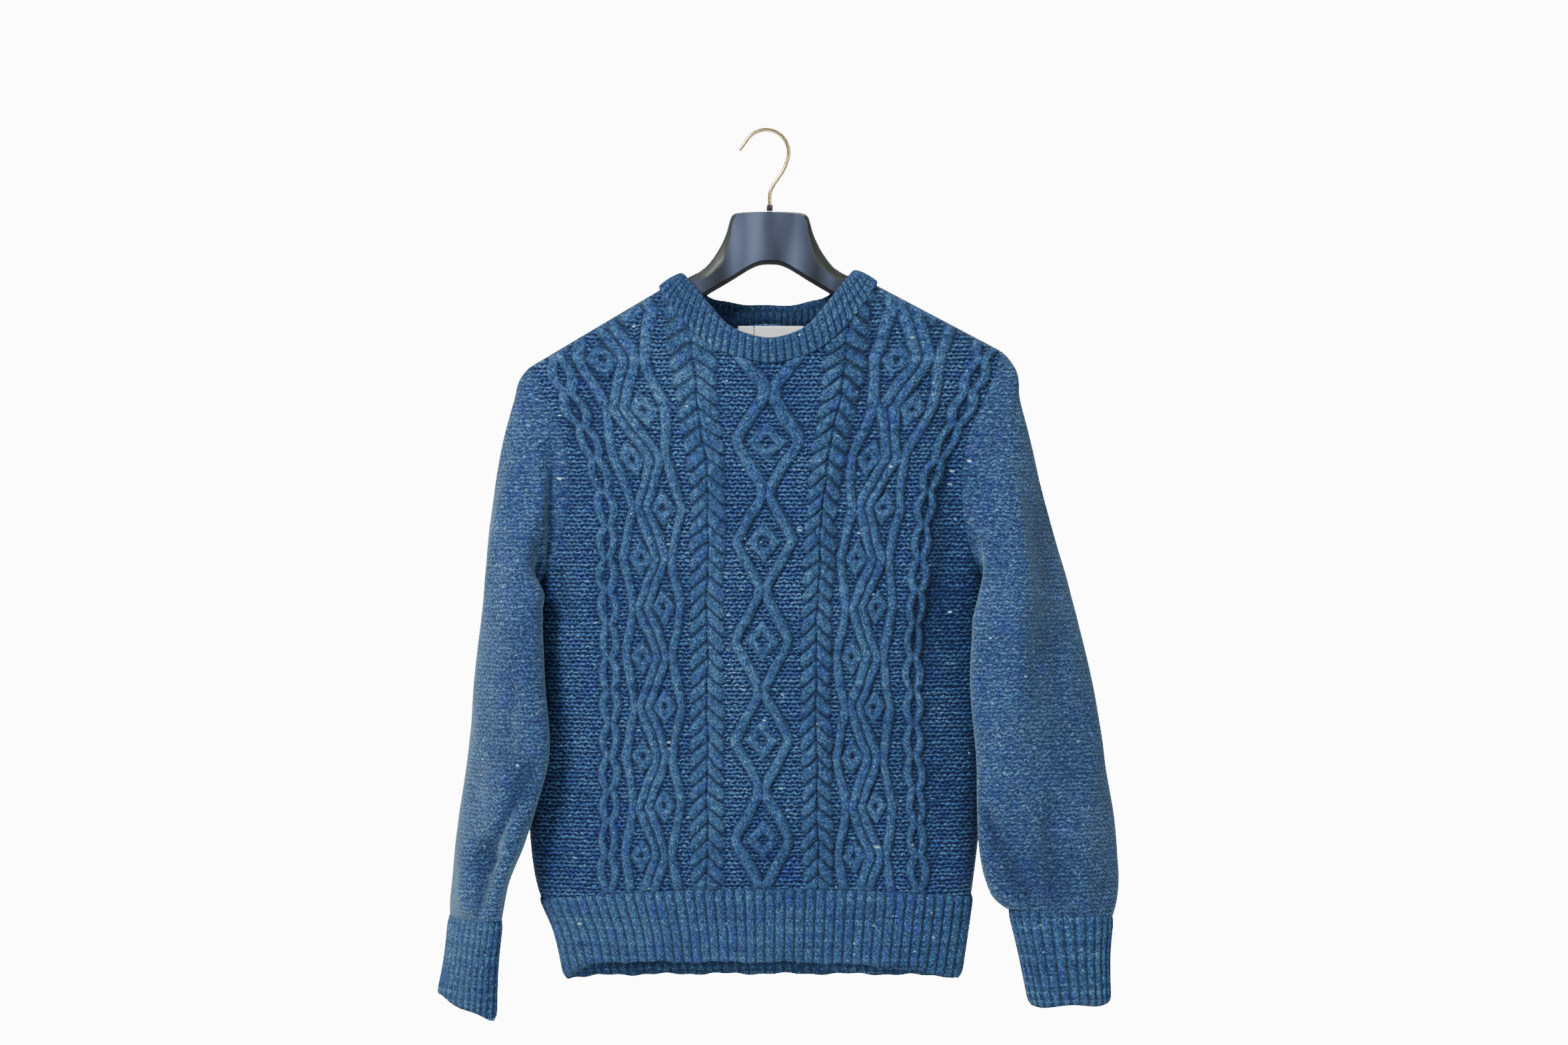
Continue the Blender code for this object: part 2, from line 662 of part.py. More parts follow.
def finish(name, bm, material, sharp_degrees=40):
    """Close off a bmesh as one named object with its material."""
    bmesh.ops.triangulate(bm, faces=bm.faces, quad_method="SHORT_EDGE")
    bmesh.ops.recalc_face_normals(bm, faces=bm.faces)
    mesh = bpy.data.meshes.new(name)
    bm.to_mesh(mesh)
    bm.free()
    mesh.shade_smooth()
    mesh.set_sharp_from_angle(angle=math.radians(sharp_degrees))
    mesh.materials.append(material)
    piece = bpy.data.objects.new(name, mesh)
    bpy.context.scene.collection.objects.link(piece)
    return piece


def cloth_sheet(name, outer, inner, material, pace=walked):
    """One open sheet of cloth with a real thickness: two faces joined round their edges."""
    bm = bmesh.new()
    out = add_sheet(bm, outer, False, True)
    back = add_sheet(bm, inner, False, False)
    zip_edges(bm, out[0], back[0], pace)
    zip_edges(bm, out[-1], back[-1], pace)
    zip_edges(bm, [row[0] for row in out], [row[0] for row in back], pace)
    zip_edges(bm, [row[-1] for row in out], [row[-1] for row in back], pace)
    return finish(name, bm, material)


def cloth_tube(name, rings, material):
    """A tube of cloth whose rings run down its outer face and back up its inner one."""
    bm = bmesh.new()
    add_sheet(bm, np.concatenate([rings, rings[:1]]), True, True)
    return finish(name, bm, material)


def material(name, colour, roughness, metallic=0.0):
    made = bpy.data.materials.new(name)
    made.use_nodes = True
    shader = made.node_tree.nodes["Principled BSDF"]
    shader.inputs["Base Color"].default_value = (*colour, 1)
    shader.inputs["Roughness"].default_value = roughness
    shader.inputs["Metallic"].default_value = metallic
    return made


def hanger_section(rel):
    """Cross-section of the hanger at a way from its middle: a ridge-topped bar with a rim."""
    far = abs(rel)
    x = HANGER_X + rel
    reach = far / ARM_REACH
    if far > COLLAR["top"][-1][0]:
        top = float(ridge_drop(x)) + HANGER_GAP
    else:
        top = float(smooth(COLLAR["top"], far))
    if far > ARCH["under"][-1][0]:
        under = top + ARM_HEIGHT + (ARM_TIP_HEIGHT - ARM_HEIGHT) * reach ** 3
    else:
        under = float(smooth(ARCH["under"], far))
    narrow = 1 - (1 - HANGER_TIP_HALF_DEPTH / HANGER_HALF_DEPTH) * reach ** 2
    half = HANGER_HALF_DEPTH * narrow
    side = [(0.0, top), (0.35 * half, top + 1.6), (0.75 * half, top + 5.5), (half, top + 11.0),
            (half, under - 3.0), (half + 0.9, under - 2.4), (half + 0.9, under)]
    return ([(x, -y, -drop) for y, drop in side] + [(x, y, -drop) for y, drop in side[:0:-1]])


def build_hanger(plastic):
    places = [0, 10, 22.3, 31, 36.5, 40.6, 46.9, 54.1, 65.6, 76, 115, 160, ARM_REACH]
    rels = [-place for place in places[:0:-1]] + places
    bm = bmesh.new()
    rings = [[bm.verts.new([c * MM for c in point]) for point in hanger_section(rel)]
             for rel in rels]
    count = len(rings[0])
    for one, other in zip(rings, rings[1:]):
        for i in range(count):
            k = (i + 1) % count
            bm.faces.new((one[i], one[k], other[k], other[i]))
    bm.faces.new(rings[0])
    bm.faces.new(rings[-1])
    return finish("hanger_body", bm, plastic, 30)


def build_ferrule(plastic):
    bm = bmesh.new()
    bmesh.ops.create_cone(bm, cap_ends=True, segments=20, radius1=FERRULE_RADIUS * MM,
                          radius2=FERRULE_RADIUS * MM, depth=FERRULE_HEIGHT * MM)
    top = COLLAR["top"][0][1]
    middle = -(top - HANGER_GAP - FERRULE_HEIGHT / 2)
    bmesh.ops.translate(bm, verts=bm.verts, vec=(HANGER_X * MM, 0, middle * MM))
    return finish("hanger_ferrule", bm, plastic)


def build_hook(brass):
    """Bent wire: a short straight tip, an arc over the seat, and down to the stem."""
    start, end = HOOK_ARC
    arc = [(HOOK_CENTRE[0] + HOOK_RADIUS * math.cos(math.radians(angle)),
            HOOK_CENTRE[1] + HOOK_RADIUS * math.sin(math.radians(angle)))
           for angle in np.linspace(start, end, 12)]
    stem_end = COLLAR["top"][0][1] - HANGER_GAP - FERRULE_HEIGHT - HANGER_GAP
    route = list(HOOK_TIP) + arc + list(HOOK_STEM) + [(HANGER_X, -stem_end)]
    curve = bpy.data.curves.new("hanger_hook", "CURVE")
    curve.dimensions = "3D"
    curve.bevel_depth = WIRE_RADIUS * MM
    curve.bevel_resolution = 2
    curve.use_fill_caps = True
    spline = curve.splines.new("POLY")
    spline.points.add(len(route) - 1)
    for point, (x, z) in zip(spline.points, route):
        point.co = (x * MM, 0, z * MM, 1)
    curve.materials.append(brass)
    hook = bpy.data.objects.new("hanger_hook", curve)
    bpy.context.scene.collection.objects.link(hook)
    return hook


def build_label(cloth):
    """Blank woven label sewn inside the back of the neck, just below the band."""
    width, height = LABEL_SIZE
    across = np.linspace(-width / 2, width / 2, 5) + LABEL_CENTRE_X
    faces = []
    for out in (-SEAM_GAP, -SEAM_GAP - LABEL_THICKNESS):
        rows = []
        for level in (0, 1):
            drop = panel_top(BACK, across) + 2.0 + level * height
            rows.append(on_body(BACK, across, drop, out + 0 * across))
        faces.append(np.array(rows))
    return cloth_sheet("neck_label", faces[0], faces[1], cloth)


def build():
    for old in list(bpy.data.objects):
        bpy.data.objects.remove(old)
    wool = material("wool tweed knit", (0.045, 0.115, 0.245), 0.9)
    rib = material("wool tweed rib", (0.04, 0.105, 0.23), 0.9)
    plastic = material("moulded black plastic", (0.035, 0.04, 0.05), 0.25)
    brass = material("bright brass wire", (0.8, 0.62, 0.3), 0.25, 1.0)
    ribbon = material("woven label ribbon", (0.78, 0.78, 0.74), 0.7)

    front_outer, front_inner = front_grid(), plain_grid(FRONT, 0)
    back_outer, back_inner = plain_grid(BACK, WALL), plain_grid(BACK, 0)
    cloth_sheet("front", front_outer, front_inner, wool)
    cloth_sheet("back", back_outer, back_inner, wool)
    panels = (front_outer, front_inner, back_outer, back_inner)
    for arm, name in ((RIGHT_ARM, "right"), (LEFT_ARM, "left")):
        outer, inner = sleeve_faces(arm, *panels)
        cloth_tube(f"sleeve_{name}", np.concatenate([outer, inner[::-1]]), wool)
        outer, inner = cuff_faces(arm)
        cloth_tube(f"cuff_{name}", np.concatenate([outer, inner[::-1]]), rib)
    for side, name in ((FRONT, "front"), (BACK, "back")):
        outer, inner = welt_grids(side)
        cloth_sheet(f"welt_{name}", outer, inner, rib, counted)
    cloth_tube("neckband", np.array(neckband_rings(front_inner, back_inner)), rib)
    build_label(ribbon)
    build_hanger(plastic)
    build_ferrule(plastic)
    build_hook(brass)


build()
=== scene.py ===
"""Looks of an aran sweater on its hanger: tweed wool in cables, ribs and purl ground.

The tables are in millimetres and MM turns them into metres. "drop" is how far a point lies
below the seat of the hanger's hook, which is the origin. The front faces -Y and +X is the
wearer's left. FRONT and BACK are the signs of Y.
"""

import math

import bmesh
import bpy
import numpy as np
from mathutils import Matrix


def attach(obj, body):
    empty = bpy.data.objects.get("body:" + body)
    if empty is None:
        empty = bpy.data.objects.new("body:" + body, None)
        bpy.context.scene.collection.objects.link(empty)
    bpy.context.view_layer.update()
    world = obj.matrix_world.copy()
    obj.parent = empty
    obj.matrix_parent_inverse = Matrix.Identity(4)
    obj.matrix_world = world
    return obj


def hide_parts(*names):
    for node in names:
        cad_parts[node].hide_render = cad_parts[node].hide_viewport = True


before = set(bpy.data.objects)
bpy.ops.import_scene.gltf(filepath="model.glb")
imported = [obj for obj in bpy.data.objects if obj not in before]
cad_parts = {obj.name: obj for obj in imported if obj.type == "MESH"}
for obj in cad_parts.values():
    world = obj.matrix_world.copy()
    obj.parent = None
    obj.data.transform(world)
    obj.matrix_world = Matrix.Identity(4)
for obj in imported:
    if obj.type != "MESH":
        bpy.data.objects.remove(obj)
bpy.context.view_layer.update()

MM = 0.001
FRONT, BACK = -1, 1
RIGHT_ARM, LEFT_ARM = -1, 1

# Knitting
WALL = 3.2
COURSE = 3.833
STITCH = 5.2
# Width of a column of knit stitches, on a cord and on a rib
CORD_STITCH, RIB_STITCH = 4.4, 3.7
CABLE_REPEAT = 24 * COURSE
FIRST_CROSSING = 246.0
CHAIN_REPEAT = 8 * COURSE
PLAIT_REPEAT = 4 * COURSE
SEAM_GAP = 0.3
SEWN_GAP = 0.45
UNDERARM = FIRST_CROSSING + 46 * COURSE

# Shoulder ridge, a straight line each side that hangs a little askew
RIDGE_TOP = 88.0 + WALL
RIDGE_SLOPE = 0.5655
RIDGE_TILT = 0.033
RIDGE_ROUND = 20.0
CLOSING = 134.0
SECTION_POWER = 2.5


def columns(names, rows):
    """Rows of a table, split into one curve against the first column for each name."""
    return {name: [(row[0], row[i + 1]) for row in rows] for i, name in enumerate(names)}


BODY = columns(("left_x", "right_x", "front_y", "back_y"), (
    (90, -240, 240, 38, 36),
    (200, -240, 238, 38, 36),
    (223, -238, 234, 38, 36),
    (251, -224, 222, 41, 39),
    (285, -208, 208, 45, 41),
    (322, -203, 203, 47, 42),
    (380, -206, 204, 49, 42),
    (422, -212, 206, 50, 42),
    (560, -214, 204, 47, 42),
    (664, -221, 199, 43, 40),
    (712, -213, 193, 42, 39),
    (748, -198, 188, 39, 37),
    (796, -187, 181, 36, 35),
))
ARMHOLE = columns(("inset",), (
    (200, 14.5),
    (223, 16.5),
    (251, 16.5),
    (285, 17.5),
    (322, 19.0),
    (350, 18.0),
    (380, 14.0),
    (405, 6.5),
    (UNDERARM, 0.0),
))
CHART = columns(("centre", "spread"), (
    (140, 3.5, 1.5),
    (215, 3.5, 1.38),
    (259, 2.5, 1.26),
    (318, 1.0, 1.08),
    (427, -2.5, 1.0),
    (720, -2.5, 1.0),
))
CHART_HALF = 153.5
# Outer and inner edge of each plait: the neckline starts at the outer ones
PLAITS = ((-67, -36), (65, 37))
NECK = columns(("front_seam", "back_seam", "front_edge", "back_edge"), (
    (-0.25, 103, 72, 86, 56),
    (0.00, 114, 75.5, 94, 60),
    (0.25, 103, 72, 86, 56),
    (0.50, 81, 56, 67, 43.5),
    (0.70, 54.5, 38, 41, 32),
    (0.86, 28, 19, 19, 16),
    (1.00, 0, 0, 0, 0),
))
NECK_EDGE_HALF = 77.0
NECK_RIBS = 72
NECK_WALL = 5.6
NECK_RIB_HEIGHT = 2.7
NECK_OVERLAP = 1.6

WELT_TOP = 706.0
WELT_TOP_SAG = 11.0
FRONT_HEM = 774.0
FRONT_HEM_SAG = 18.0
# The higher the power, the nearer to the seam the hem starts to sag: right and left seam
FRONT_HEM_POWERS = (9, 2.4)
BACK_HEM = 794.0
WELT_RIBS = 46
CUFF_RIBS = 32
SLEEVE_STITCHES = 52
RIB_HEIGHT = 2.4
CUFF_RIB_HEIGHT = 0.7 * RIB_HEIGHT
JOIN_OVERLAP = 0.7
# How far apart ribs are, and how wide the groove between them is as a share of that
WELT_PITCH, WELT_GROOVE = 7.8, 0.17
CUFF_PITCH, CUFF_GROOVE = 6.2, 0.2
NECK_PITCH, NECK_GROOVE = 6.2, 0.21

CAP_LINES = {
    RIGHT_ARM: columns(("outer",), ((222, -222.5), (233, -231), (251, -236), (289, -246),
                                    (364, -257), (455, -266))),
    LEFT_ARM: columns(("outer",), ((207, 222.5), (223, 234.5), (251, 238.5), (289, 248),
                                   (364, 267), (455, 291))),
}
SECTION_NAMES = ("outer", "inner", "half_long", "half_short", "middle_y", "slant")
SLEEVES = {
    RIGHT_ARM: columns(SECTION_NAMES, (
        (455, -266, -207, 52, 25, -20, 0),
        (514, -274, -204, 54, 25, -20, 0),
        (589, -281.5, -201, 56, 25, -20, 0),
        (626, -287, -211, 56, 25, -18, 0),
        (664, -292, -223, 55, 24, -16, 0),
        (701, -296, -238, 52, 22, -11, 0),
        (725, -298, -243, 47, 20, -10, 0),
        (736, -298, -245, 42, 17, -9, 0),
    )),
    LEFT_ARM: columns(SECTION_NAMES, (
        (455, 291, 191, 60, 27, -28, 0),
        (514, 304, 189, 62, 27, -28, 0),
        (589, 317, 195, 65, 27, -26, 0),
        (641, 326.5, 196, 69, 26, -21, 0),
        (680, 330, 199, 69, 25, -18, -1),
        (701, 331, 204, 66.5, 24, -16, -2),
        (720, 328.5, 213, 60, 21, -14, -4),
        (731, 325, 226, 51, 17, -12, -5),
    )),
}
CUFFS = {
    RIGHT_ARM: columns(SECTION_NAMES, (
        (736, -298, -245, 42, 17, -9, 0),
        (776, -302, -249.5, 41, 16, -9, 3),
        (819, -309, -251, 42, 16, -9, 9),
    )),
    LEFT_ARM: columns(SECTION_NAMES, (
        (731, 325, 226, 51, 17, -12, -5),
        (767, 321.8, 235.4, 44.5, 16, -12, -2),
        (817, 322, 246, 39, 16, -12, 0),
    )),
}
CAP_HOLLOW = 13.0
CAP_PUFF = 9.0
UNDERARM_TWIST = math.radians(30)
HUG_DROP = 433.0
HUG_REACH = 15.0
HUG = {RIGHT_ARM: 8.0, LEFT_ARM: 1.0}
FOLDS = {
    RIGHT_ARM: columns(("turn", "height"), ((270, 40, 0), (340, 40, 2.5), (520, 38, 2.5),
                                            (640, 36, 0))),
    LEFT_ARM: columns(("turn", "height"), ((270, 45, 0), (340, 62, 4), (540, 98, 4),
                                           (620, 105, 0))),
}
FOLD_WIDTH = 15.0

# Folds get painted shade by their depth as a share of DARK_DEPTH, up to these limits
DARK_DEPTH = 9.0
FRONT_SHADE, SLEEVE_SHADE = 0.5, 0.6
# Creases: from a place to a place, how wide, and how far they stand out (or sink, below 0)
CREASE_NAMES = ("x1", "drop1", "x2", "drop2", "width", "height")
FRONT_CREASES = (
    (-196, 300, -190, 440, 13, -5.0),
    (-168, 330, -176, 470, 16, 2.0),
    (176, 330, 158, 470, 17, -7.0),
    (150, 470, 168, 640, 26, -2.0),
    (-178, 560, -190, 690, 18, -2.6),
    (-150, 250, -196, 300, 13, -2.2),
    (150, 240, 190, 292, 14, -2.4),
    (-120, 640, -60, 700, 30, 1.6),
    (60, 600, 130, 690, 34, 1.8),
    (20, 280, -30, 420, 42, 1.4),
    (186, 600, 178, 700, 12, 2.2),
)
BACK_CREASES = (
    (-185, 300, -168, 470, 18, -5.5),
    (186, 310, 172, 450, 16, -5.0),
    (-150, 520, -176, 680, 24, -3.0),
    (96, 330, 150, 520, 30, 2.2),
    (-40, 240, -110, 420, 36, 2.0),
    (30, 520, 84, 690, 30, -2.0),
    (-70, 560, -20, 690, 26, 1.8),
)
SLEEVE_CREASES = {
    RIGHT_ARM: (
        (-198, 296, -202, 425, 5, -6.0),
        (-211, 296, -212, 430, 7, 3.5),
        (-218, 600, -256, 676, 9, -8.0),
        (-256, 676, -265, 732, 8, -6.5),
        (-232, 640, -250, 726, 9, 4.0),
        (-276, 640, -280, 728, 9, 3.6),
        (-240, 345, -262, 560, 14, 2.8),
        (-226, 470, -238, 580, 11, -3.0),
        (-262, 560, -272, 650, 11, -2.4),
    ),
    LEFT_ARM: (
        (231, 285, 233, 550, 13, 3.2),
        (258, 330, 268, 560, 16, -2.8),
        (206, 640, 242, 716, 10, -6.0),
        (262, 640, 268, 725, 13, -4.5),
        (300, 600, 296, 722, 14, 2.8),
        (286, 420, 304, 560, 14, 2.0),
    ),
}
SLEEVE_BACK_CREASES = {
    RIGHT_ARM: (
        (-220, 420, -262, 500, 14, -2.6),
        (-240, 580, -270, 690, 12, -3.0),
        (-262, 640, -276, 724, 11, 2.0),
    ),
    LEFT_ARM: (
        (222, 420, 276, 520, 16, -2.8),
        (240, 600, 290, 700, 15, -3.0),
        (292, 560, 306, 700, 14, 1.8),
    ),
}

# Measures of the hanger and the label
HANGER_X = 3.5
HANGER_GAP = 0.3
HANGER_HALF_DEPTH = 6.5
HANGER_TIP_HALF_DEPTH = 4.0
ARM_REACH = 205.0
ARM_HEIGHT = 24.5
ARM_TIP_HEIGHT = 15.0
COLLAR_REACH = 76.0
COLLAR = columns(("top",), (
    (0, 74.6), (14, 74.9), (27.8, 75.8), (33.4, 77.0), (36.5, 80.0), (40.6, 94.2),
    (46.9, 108.5), (54.1, 119.7), (62.9, 129.3), (76.0, 136.6),
))
ARCH = columns(("under",), ((0, 124.5), (9, 125.2), (17, 128.2), (25, 132.9),
                           (36, 139.8), (65.6, 157.0)))
TEETH_FROM, TEETH_TO = 62.0, 76.0
TOOTH_PITCH = 1.75
TOOTH_HEIGHT = 1.3
FERRULE_RADIUS = 3.1
FERRULE_HEIGHT = 5.6
WIRE_RADIUS = 1.9
HOOK_RADIUS = 21.3
HOOK_CENTRE = (0.0, WIRE_RADIUS - HOOK_RADIUS)
HOOK_TIP = ((-25.0, -17.4), (-19.8, -10.6))
HOOK_ARC = (136, -18)
HOOK_STEM = ((15.9, -36.8), (10.9, -44.4), (6.2, -51.6), (4.0, -57.0), (3.5, -63.0))

LABEL_SIZE = (62.0, 26.0)
LABEL_CENTRE_X = 4.6
LABEL_THICKNESS = 0.8
LABEL_DROP = 2.2
LABEL_CLEAR = 1.4

# The studio in metres: a white surround that is seen brighter than it shines, and lamps, each
# with its place, its width and its power
SOFT_LIGHT = 0.42
SEEN_WHITE = 12.0
LAMPS = {
    "key": ((-1.7, -2.5, 1.5), 1.0, 188),
    "fill": ((2.2, -2.4, 0.2), 1.8, 20),
    "behind": ((0.9, 2.8, 1.4), 1.6, 70),
}
LAMP_TARGET = (0, 0, -0.4)
FLOOR_DROP = 1.32
FLOOR_RADIUS = 3.1
CAMERA_PLACE = (0.0169, -3.472, -0.3664)
CAMERA_LENS, CAMERA_SENSOR = 85, 36


# Curves and surfaces
def smooth(rows, at):
    """Value at a place on the smooth curve through (place, value) rows, flat past its ends."""
    places, values = np.array(rows, float).T
    slopes = np.gradient(values, places)
    at = np.clip(at, places[0], places[-1])
    left = np.clip(np.searchsorted(places, at, side="right") - 1, 0, len(places) - 2)
    span = places[left + 1] - places[left]
    rise = values[left + 1] - values[left]
    t = (at - places[left]) / span
    lead = slopes[left] * span - rise
    trail = rise - slopes[left + 1] * span
    return values[left] + t * rise + t * (1 - t) * ((1 - t) * lead + t * trail)


def ridge_drop(x):
    """Drop of the shoulder ridge on the cloth's inner face."""
    return RIDGE_TOP + RIDGE_SLOPE * np.hypot(x, RIDGE_ROUND) - RIDGE_TILT * x


def body_surface(side, x, drop):
    """Points on the inner face of the body's cloth, and the way it faces there."""
    x, drop = np.broadcast_arrays(np.asarray(x, float), np.asarray(drop, float))
    right = x > 0
    edge = np.where(right, smooth(BODY["right_x"], drop), -smooth(BODY["left_x"], drop)) - WALL
    depth = smooth(BODY["front_y" if side == FRONT else "back_y"], drop)
    share = np.clip(np.abs(x) / edge, 0, 1)
    across = 1 - share ** SECTION_POWER
    below = np.clip((drop - ridge_drop(x)) / CLOSING, 0, 1)
    opened = np.sqrt(below * (2 - below))
    y = side * np.maximum(depth * opened * across ** (1 / SECTION_POWER), SEAM_GAP / 2)
    upward = across * (1 - below) / CLOSING
    sign = np.where(right, 1.0, -1.0)
    slope = RIDGE_SLOPE * x / np.hypot(x, RIDGE_ROUND) - RIDGE_TILT
    facing = np.stack([
        sign * opened ** 2 * share ** (SECTION_POWER - 1) / edge + upward * slope,
        side * opened * across ** (1 - 1 / SECTION_POWER) / depth,
        upward + 1e-9,
    ], axis=-1)
    facing /= np.linalg.norm(facing, axis=-1, keepdims=True)
    return np.stack([x, y, -drop], axis=-1), facing


def on_body(side, x, drop, out):
    """Points a given way out from the inner face, kept off the seam plane."""
    points, facing = body_surface(side, x, drop)
    points = points + facing * np.broadcast_to(out, points.shape[:-1])[..., None]
    points[..., 1] = side * np.maximum(side * points[..., 1], SEAM_GAP / 2)
    return points


def panel_edge(sign, drop):
    """Armhole edge and below it the side seam of the body's panels."""
    name = "right_x" if sign > 0 else "left_x"
    edge = sign * smooth(BODY[name], drop) - WALL
    inset = np.where(drop < UNDERARM, smooth(ARMHOLE["inset"], drop), 0)
    return sign * (edge - np.maximum(inset, 0))


def chart_x(offset, drop):
    """Where a column of the cable chart lies: columns fan out towards the shoulders."""
    return smooth(CHART["centre"], drop) + smooth(CHART["spread"], drop) * offset


def neck_corner(offset):
    """Where a plait's outer edge meets the ridge, which is where the neckline starts."""
    drop = 150.0
    for _ in range(40):
        drop = float(ridge_drop(chart_x(offset, drop)))
    return float(chart_x(offset, drop))


NECK_CORNERS = [neck_corner(outer) for outer, _ in PLAITS]
NECK_MIDDLE = sum(NECK_CORNERS) / 2
NECK_HALF = (NECK_CORNERS[1] - NECK_CORNERS[0]) / 2


def panel_top(side, x):
    """Drop of a panel's top: the neckline seam between its corners, else the ridge."""
    share = np.clip(np.abs(np.asarray(x, float) - NECK_MIDDLE) / NECK_HALF, 0, 1)
    scoop = smooth(NECK["front_seam" if side == FRONT else "back_seam"], share)
    return ridge_drop(x) + np.maximum(scoop, 0)


def welt_top(x):
    """Drop of the seam between a panel and its welt, lower towards the sides."""
    return WELT_TOP + WELT_TOP_SAG * (np.asarray(x, float) / 200) ** 2


def creased(table, x, drop):
    """How far the creases of a table lift the cloth: each is soft across and at its ends."""
    lift = np.zeros(np.broadcast(x, drop).shape)
    for row in table:
        crease = dict(zip(CREASE_NAMES, row))
        run = np.array([crease["x2"] - crease["x1"], crease["drop2"] - crease["drop1"]], float)
        length = np.hypot(*run)
        along = ((x - crease["x1"]) * run[0] + (drop - crease["drop1"]) * run[1]) / length
        away = ((x - crease["x1"]) * run[1] - (drop - crease["drop1"]) * run[0]) / length
        past = np.maximum(0, np.maximum(-along, along - length))
        soft = 1 + 0.35 * np.sin(along / 17 + crease["x1"])
        lift += crease["height"] * np.exp(-(away / (crease["width"] * soft)) ** 2
                                          - (past / (1.6 * crease["width"])) ** 2)
    return lift


def uneven(x, drop):
    """Slow waves that keep a hanging panel from lying quite true."""
    return (0.55 * np.sin(x / 31 + drop / 83) + 0.45 * np.sin(x / 53 - drop / 47 + 2)
            + 0.35 * np.sin(x / 19 + drop / 29 + 4))


# The cable chart
def round_cord(away, half, tall):
    """Height of a cord's round top, a given way from its middle line."""
    return tall * np.clip(1 - (away / half) ** 2, 0, 1) ** 0.7


def strand(offset, drop, middle, half, tall):
    """A cord along a line of the chart: its height, and places across and along it."""
    lean = (middle(drop + 2) - middle(drop - 2)) / 4
    away = (offset - middle(drop)) / np.sqrt(1 + lean ** 2)
    return round_cord(away, half, tall), away, 1.08 * drop + away * lean


def wave(drop, turn_at):
    """Zigzag from 0 at turn_at up to 1 half a cable repeat away, and back."""
    phase = (drop - turn_at) / CABLE_REPEAT % 1
    return 1 - np.sqrt((2 * phase - 1) ** 2 + 0.003)


def lozenge(offset, drop, middle, first, half_width, half_height, tall):
    """Small raised diamond outline in the middle of each large diamond."""
    below = (drop - first + CABLE_REPEAT / 2) % CABLE_REPEAT - CABLE_REPEAT / 2
    from_middle = np.abs(offset - middle) / half_width + np.abs(below) / half_height
    reach = half_width * half_height / math.hypot(half_width, half_height)
    away = (from_middle - 0.66) * reach
    return round_cord(away, 4.0, tall), away, drop


def crossed_lattice(offset, drop):
    """Middle lattice: two cords that cross each repeat, round a small lozenge."""
    strands = []
    for sign in (-1, 1):
        def middle(at, sign=sign):
            return sign * (3.9 + 22.0 * np.clip(1.12 * wave(at, FIRST_CROSSING) - 0.12, 0, 1))
        over = 0.5 * np.exp(-((wave(drop, FIRST_CROSSING) - 0.1) / 0.12) ** 2) * (sign > 0)
        strands.append(strand(offset, drop, middle, 4.9, 3.3 + over))
    strands.append(lozenge(offset, drop, 0, FIRST_CROSSING + CABLE_REPEAT / 2, 15.5, 19, 2.5))
    return strands


def zigzag_lattice(offset, drop, centre):
    """Outer lattice: a zigzag double cord, with cords that close its diamonds."""
    turn_at = FIRST_CROSSING + CABLE_REPEAT / 6

    def swing(at):
        return centre + 8.5 * (2 * wave(at, turn_at) - 1)

    lines = ((lambda at: swing(at) - 4.3, 4.3, 3.2), (lambda at: swing(at) + 4.3, 4.3, 3.2),
             (lambda at: centre - 17.5 - 8.5 * wave(at, turn_at), 4.2, 2.8),
             (lambda at: centre + 17.5 + 8.5 * (1 - wave(at, turn_at)), 4.2, 2.8))
    strands = [strand(offset, drop, *line) for line in lines]
    widest = turn_at + CABLE_REPEAT / 2
    strands.append(lozenge(offset, drop, centre - 10.2, widest, 10.5, 15, 2.2))
    strands.append(lozenge(offset, drop, centre + 10.2, widest + CABLE_REPEAT / 2, 10.5, 15, 2.2))
    return strands


def plait(offset, drop, outer, inner):
    """Herringbone plait: leaf-shaped lobes run down and out from a middle groove."""
    centre, half = (outer + inner) / 2, abs(outer - inner) / 2
    side = np.abs(offset - centre)
    phase = (drop - FIRST_CROSSING - 1.0 * (side - 0.55 * half)) / PLAIT_REPEAT
    from_lobe = phase - np.round(phase)
    reach = half * (1.05 - 0.9 * (from_lobe + 0.12) ** 2)
    thick = np.clip(1 - (2 * from_lobe) ** 2, 0, 1) ** 0.75
    ends = np.clip(1 - (side / reach) ** 4, 0, 1) ** 0.55
    groove = np.clip(side / 2.2, 0, 1) ** 0.7
    height = 3.9 * thick * ends * groove * (0.78 + 0.22 * side / half)
    return [(height, from_lobe * PLAIT_REPEAT * 0.72, 0.72 * drop + 1.3 * side)]


def chain_cable(offset, drop, centre):
    """Narrow cable at the side: two cords that open into small lenses."""
    strands = []
    for sign in (-1, 1):
        def middle(at, sign=sign):
            return centre + sign * (2.2 + 4.4 * np.abs(np.sin((at - FIRST_CROSSING)
                                                               * math.pi / CHAIN_REPEAT)))
        strands.append(strand(offset, drop, middle, 3.7, 2.7))
    return strands


def handmade(offset, drop):
    """Place on the chart that a point shows, because no stitch lies quite in line."""
    return (offset + 0.6 * np.sin(drop / 13.7 + offset / 9)
            + 0.4 * np.sin(drop / 5.9 - offset / 6.3 + 1),
            drop + 0.7 * np.sin(offset / 8.1 + drop / 17)
            + 0.45 * np.sin(offset / 4.7 - drop / 7.7 + 2))


# The cables from the picture's left, each with its place on the chart
CABLES = ((chain_cable, -143), (zigzag_lattice, -102), (plait, *PLAITS[0]), (crossed_lattice,),
          (plait, *PLAITS[1]), (zigzag_lattice, 95.5), (chain_cable, 143))


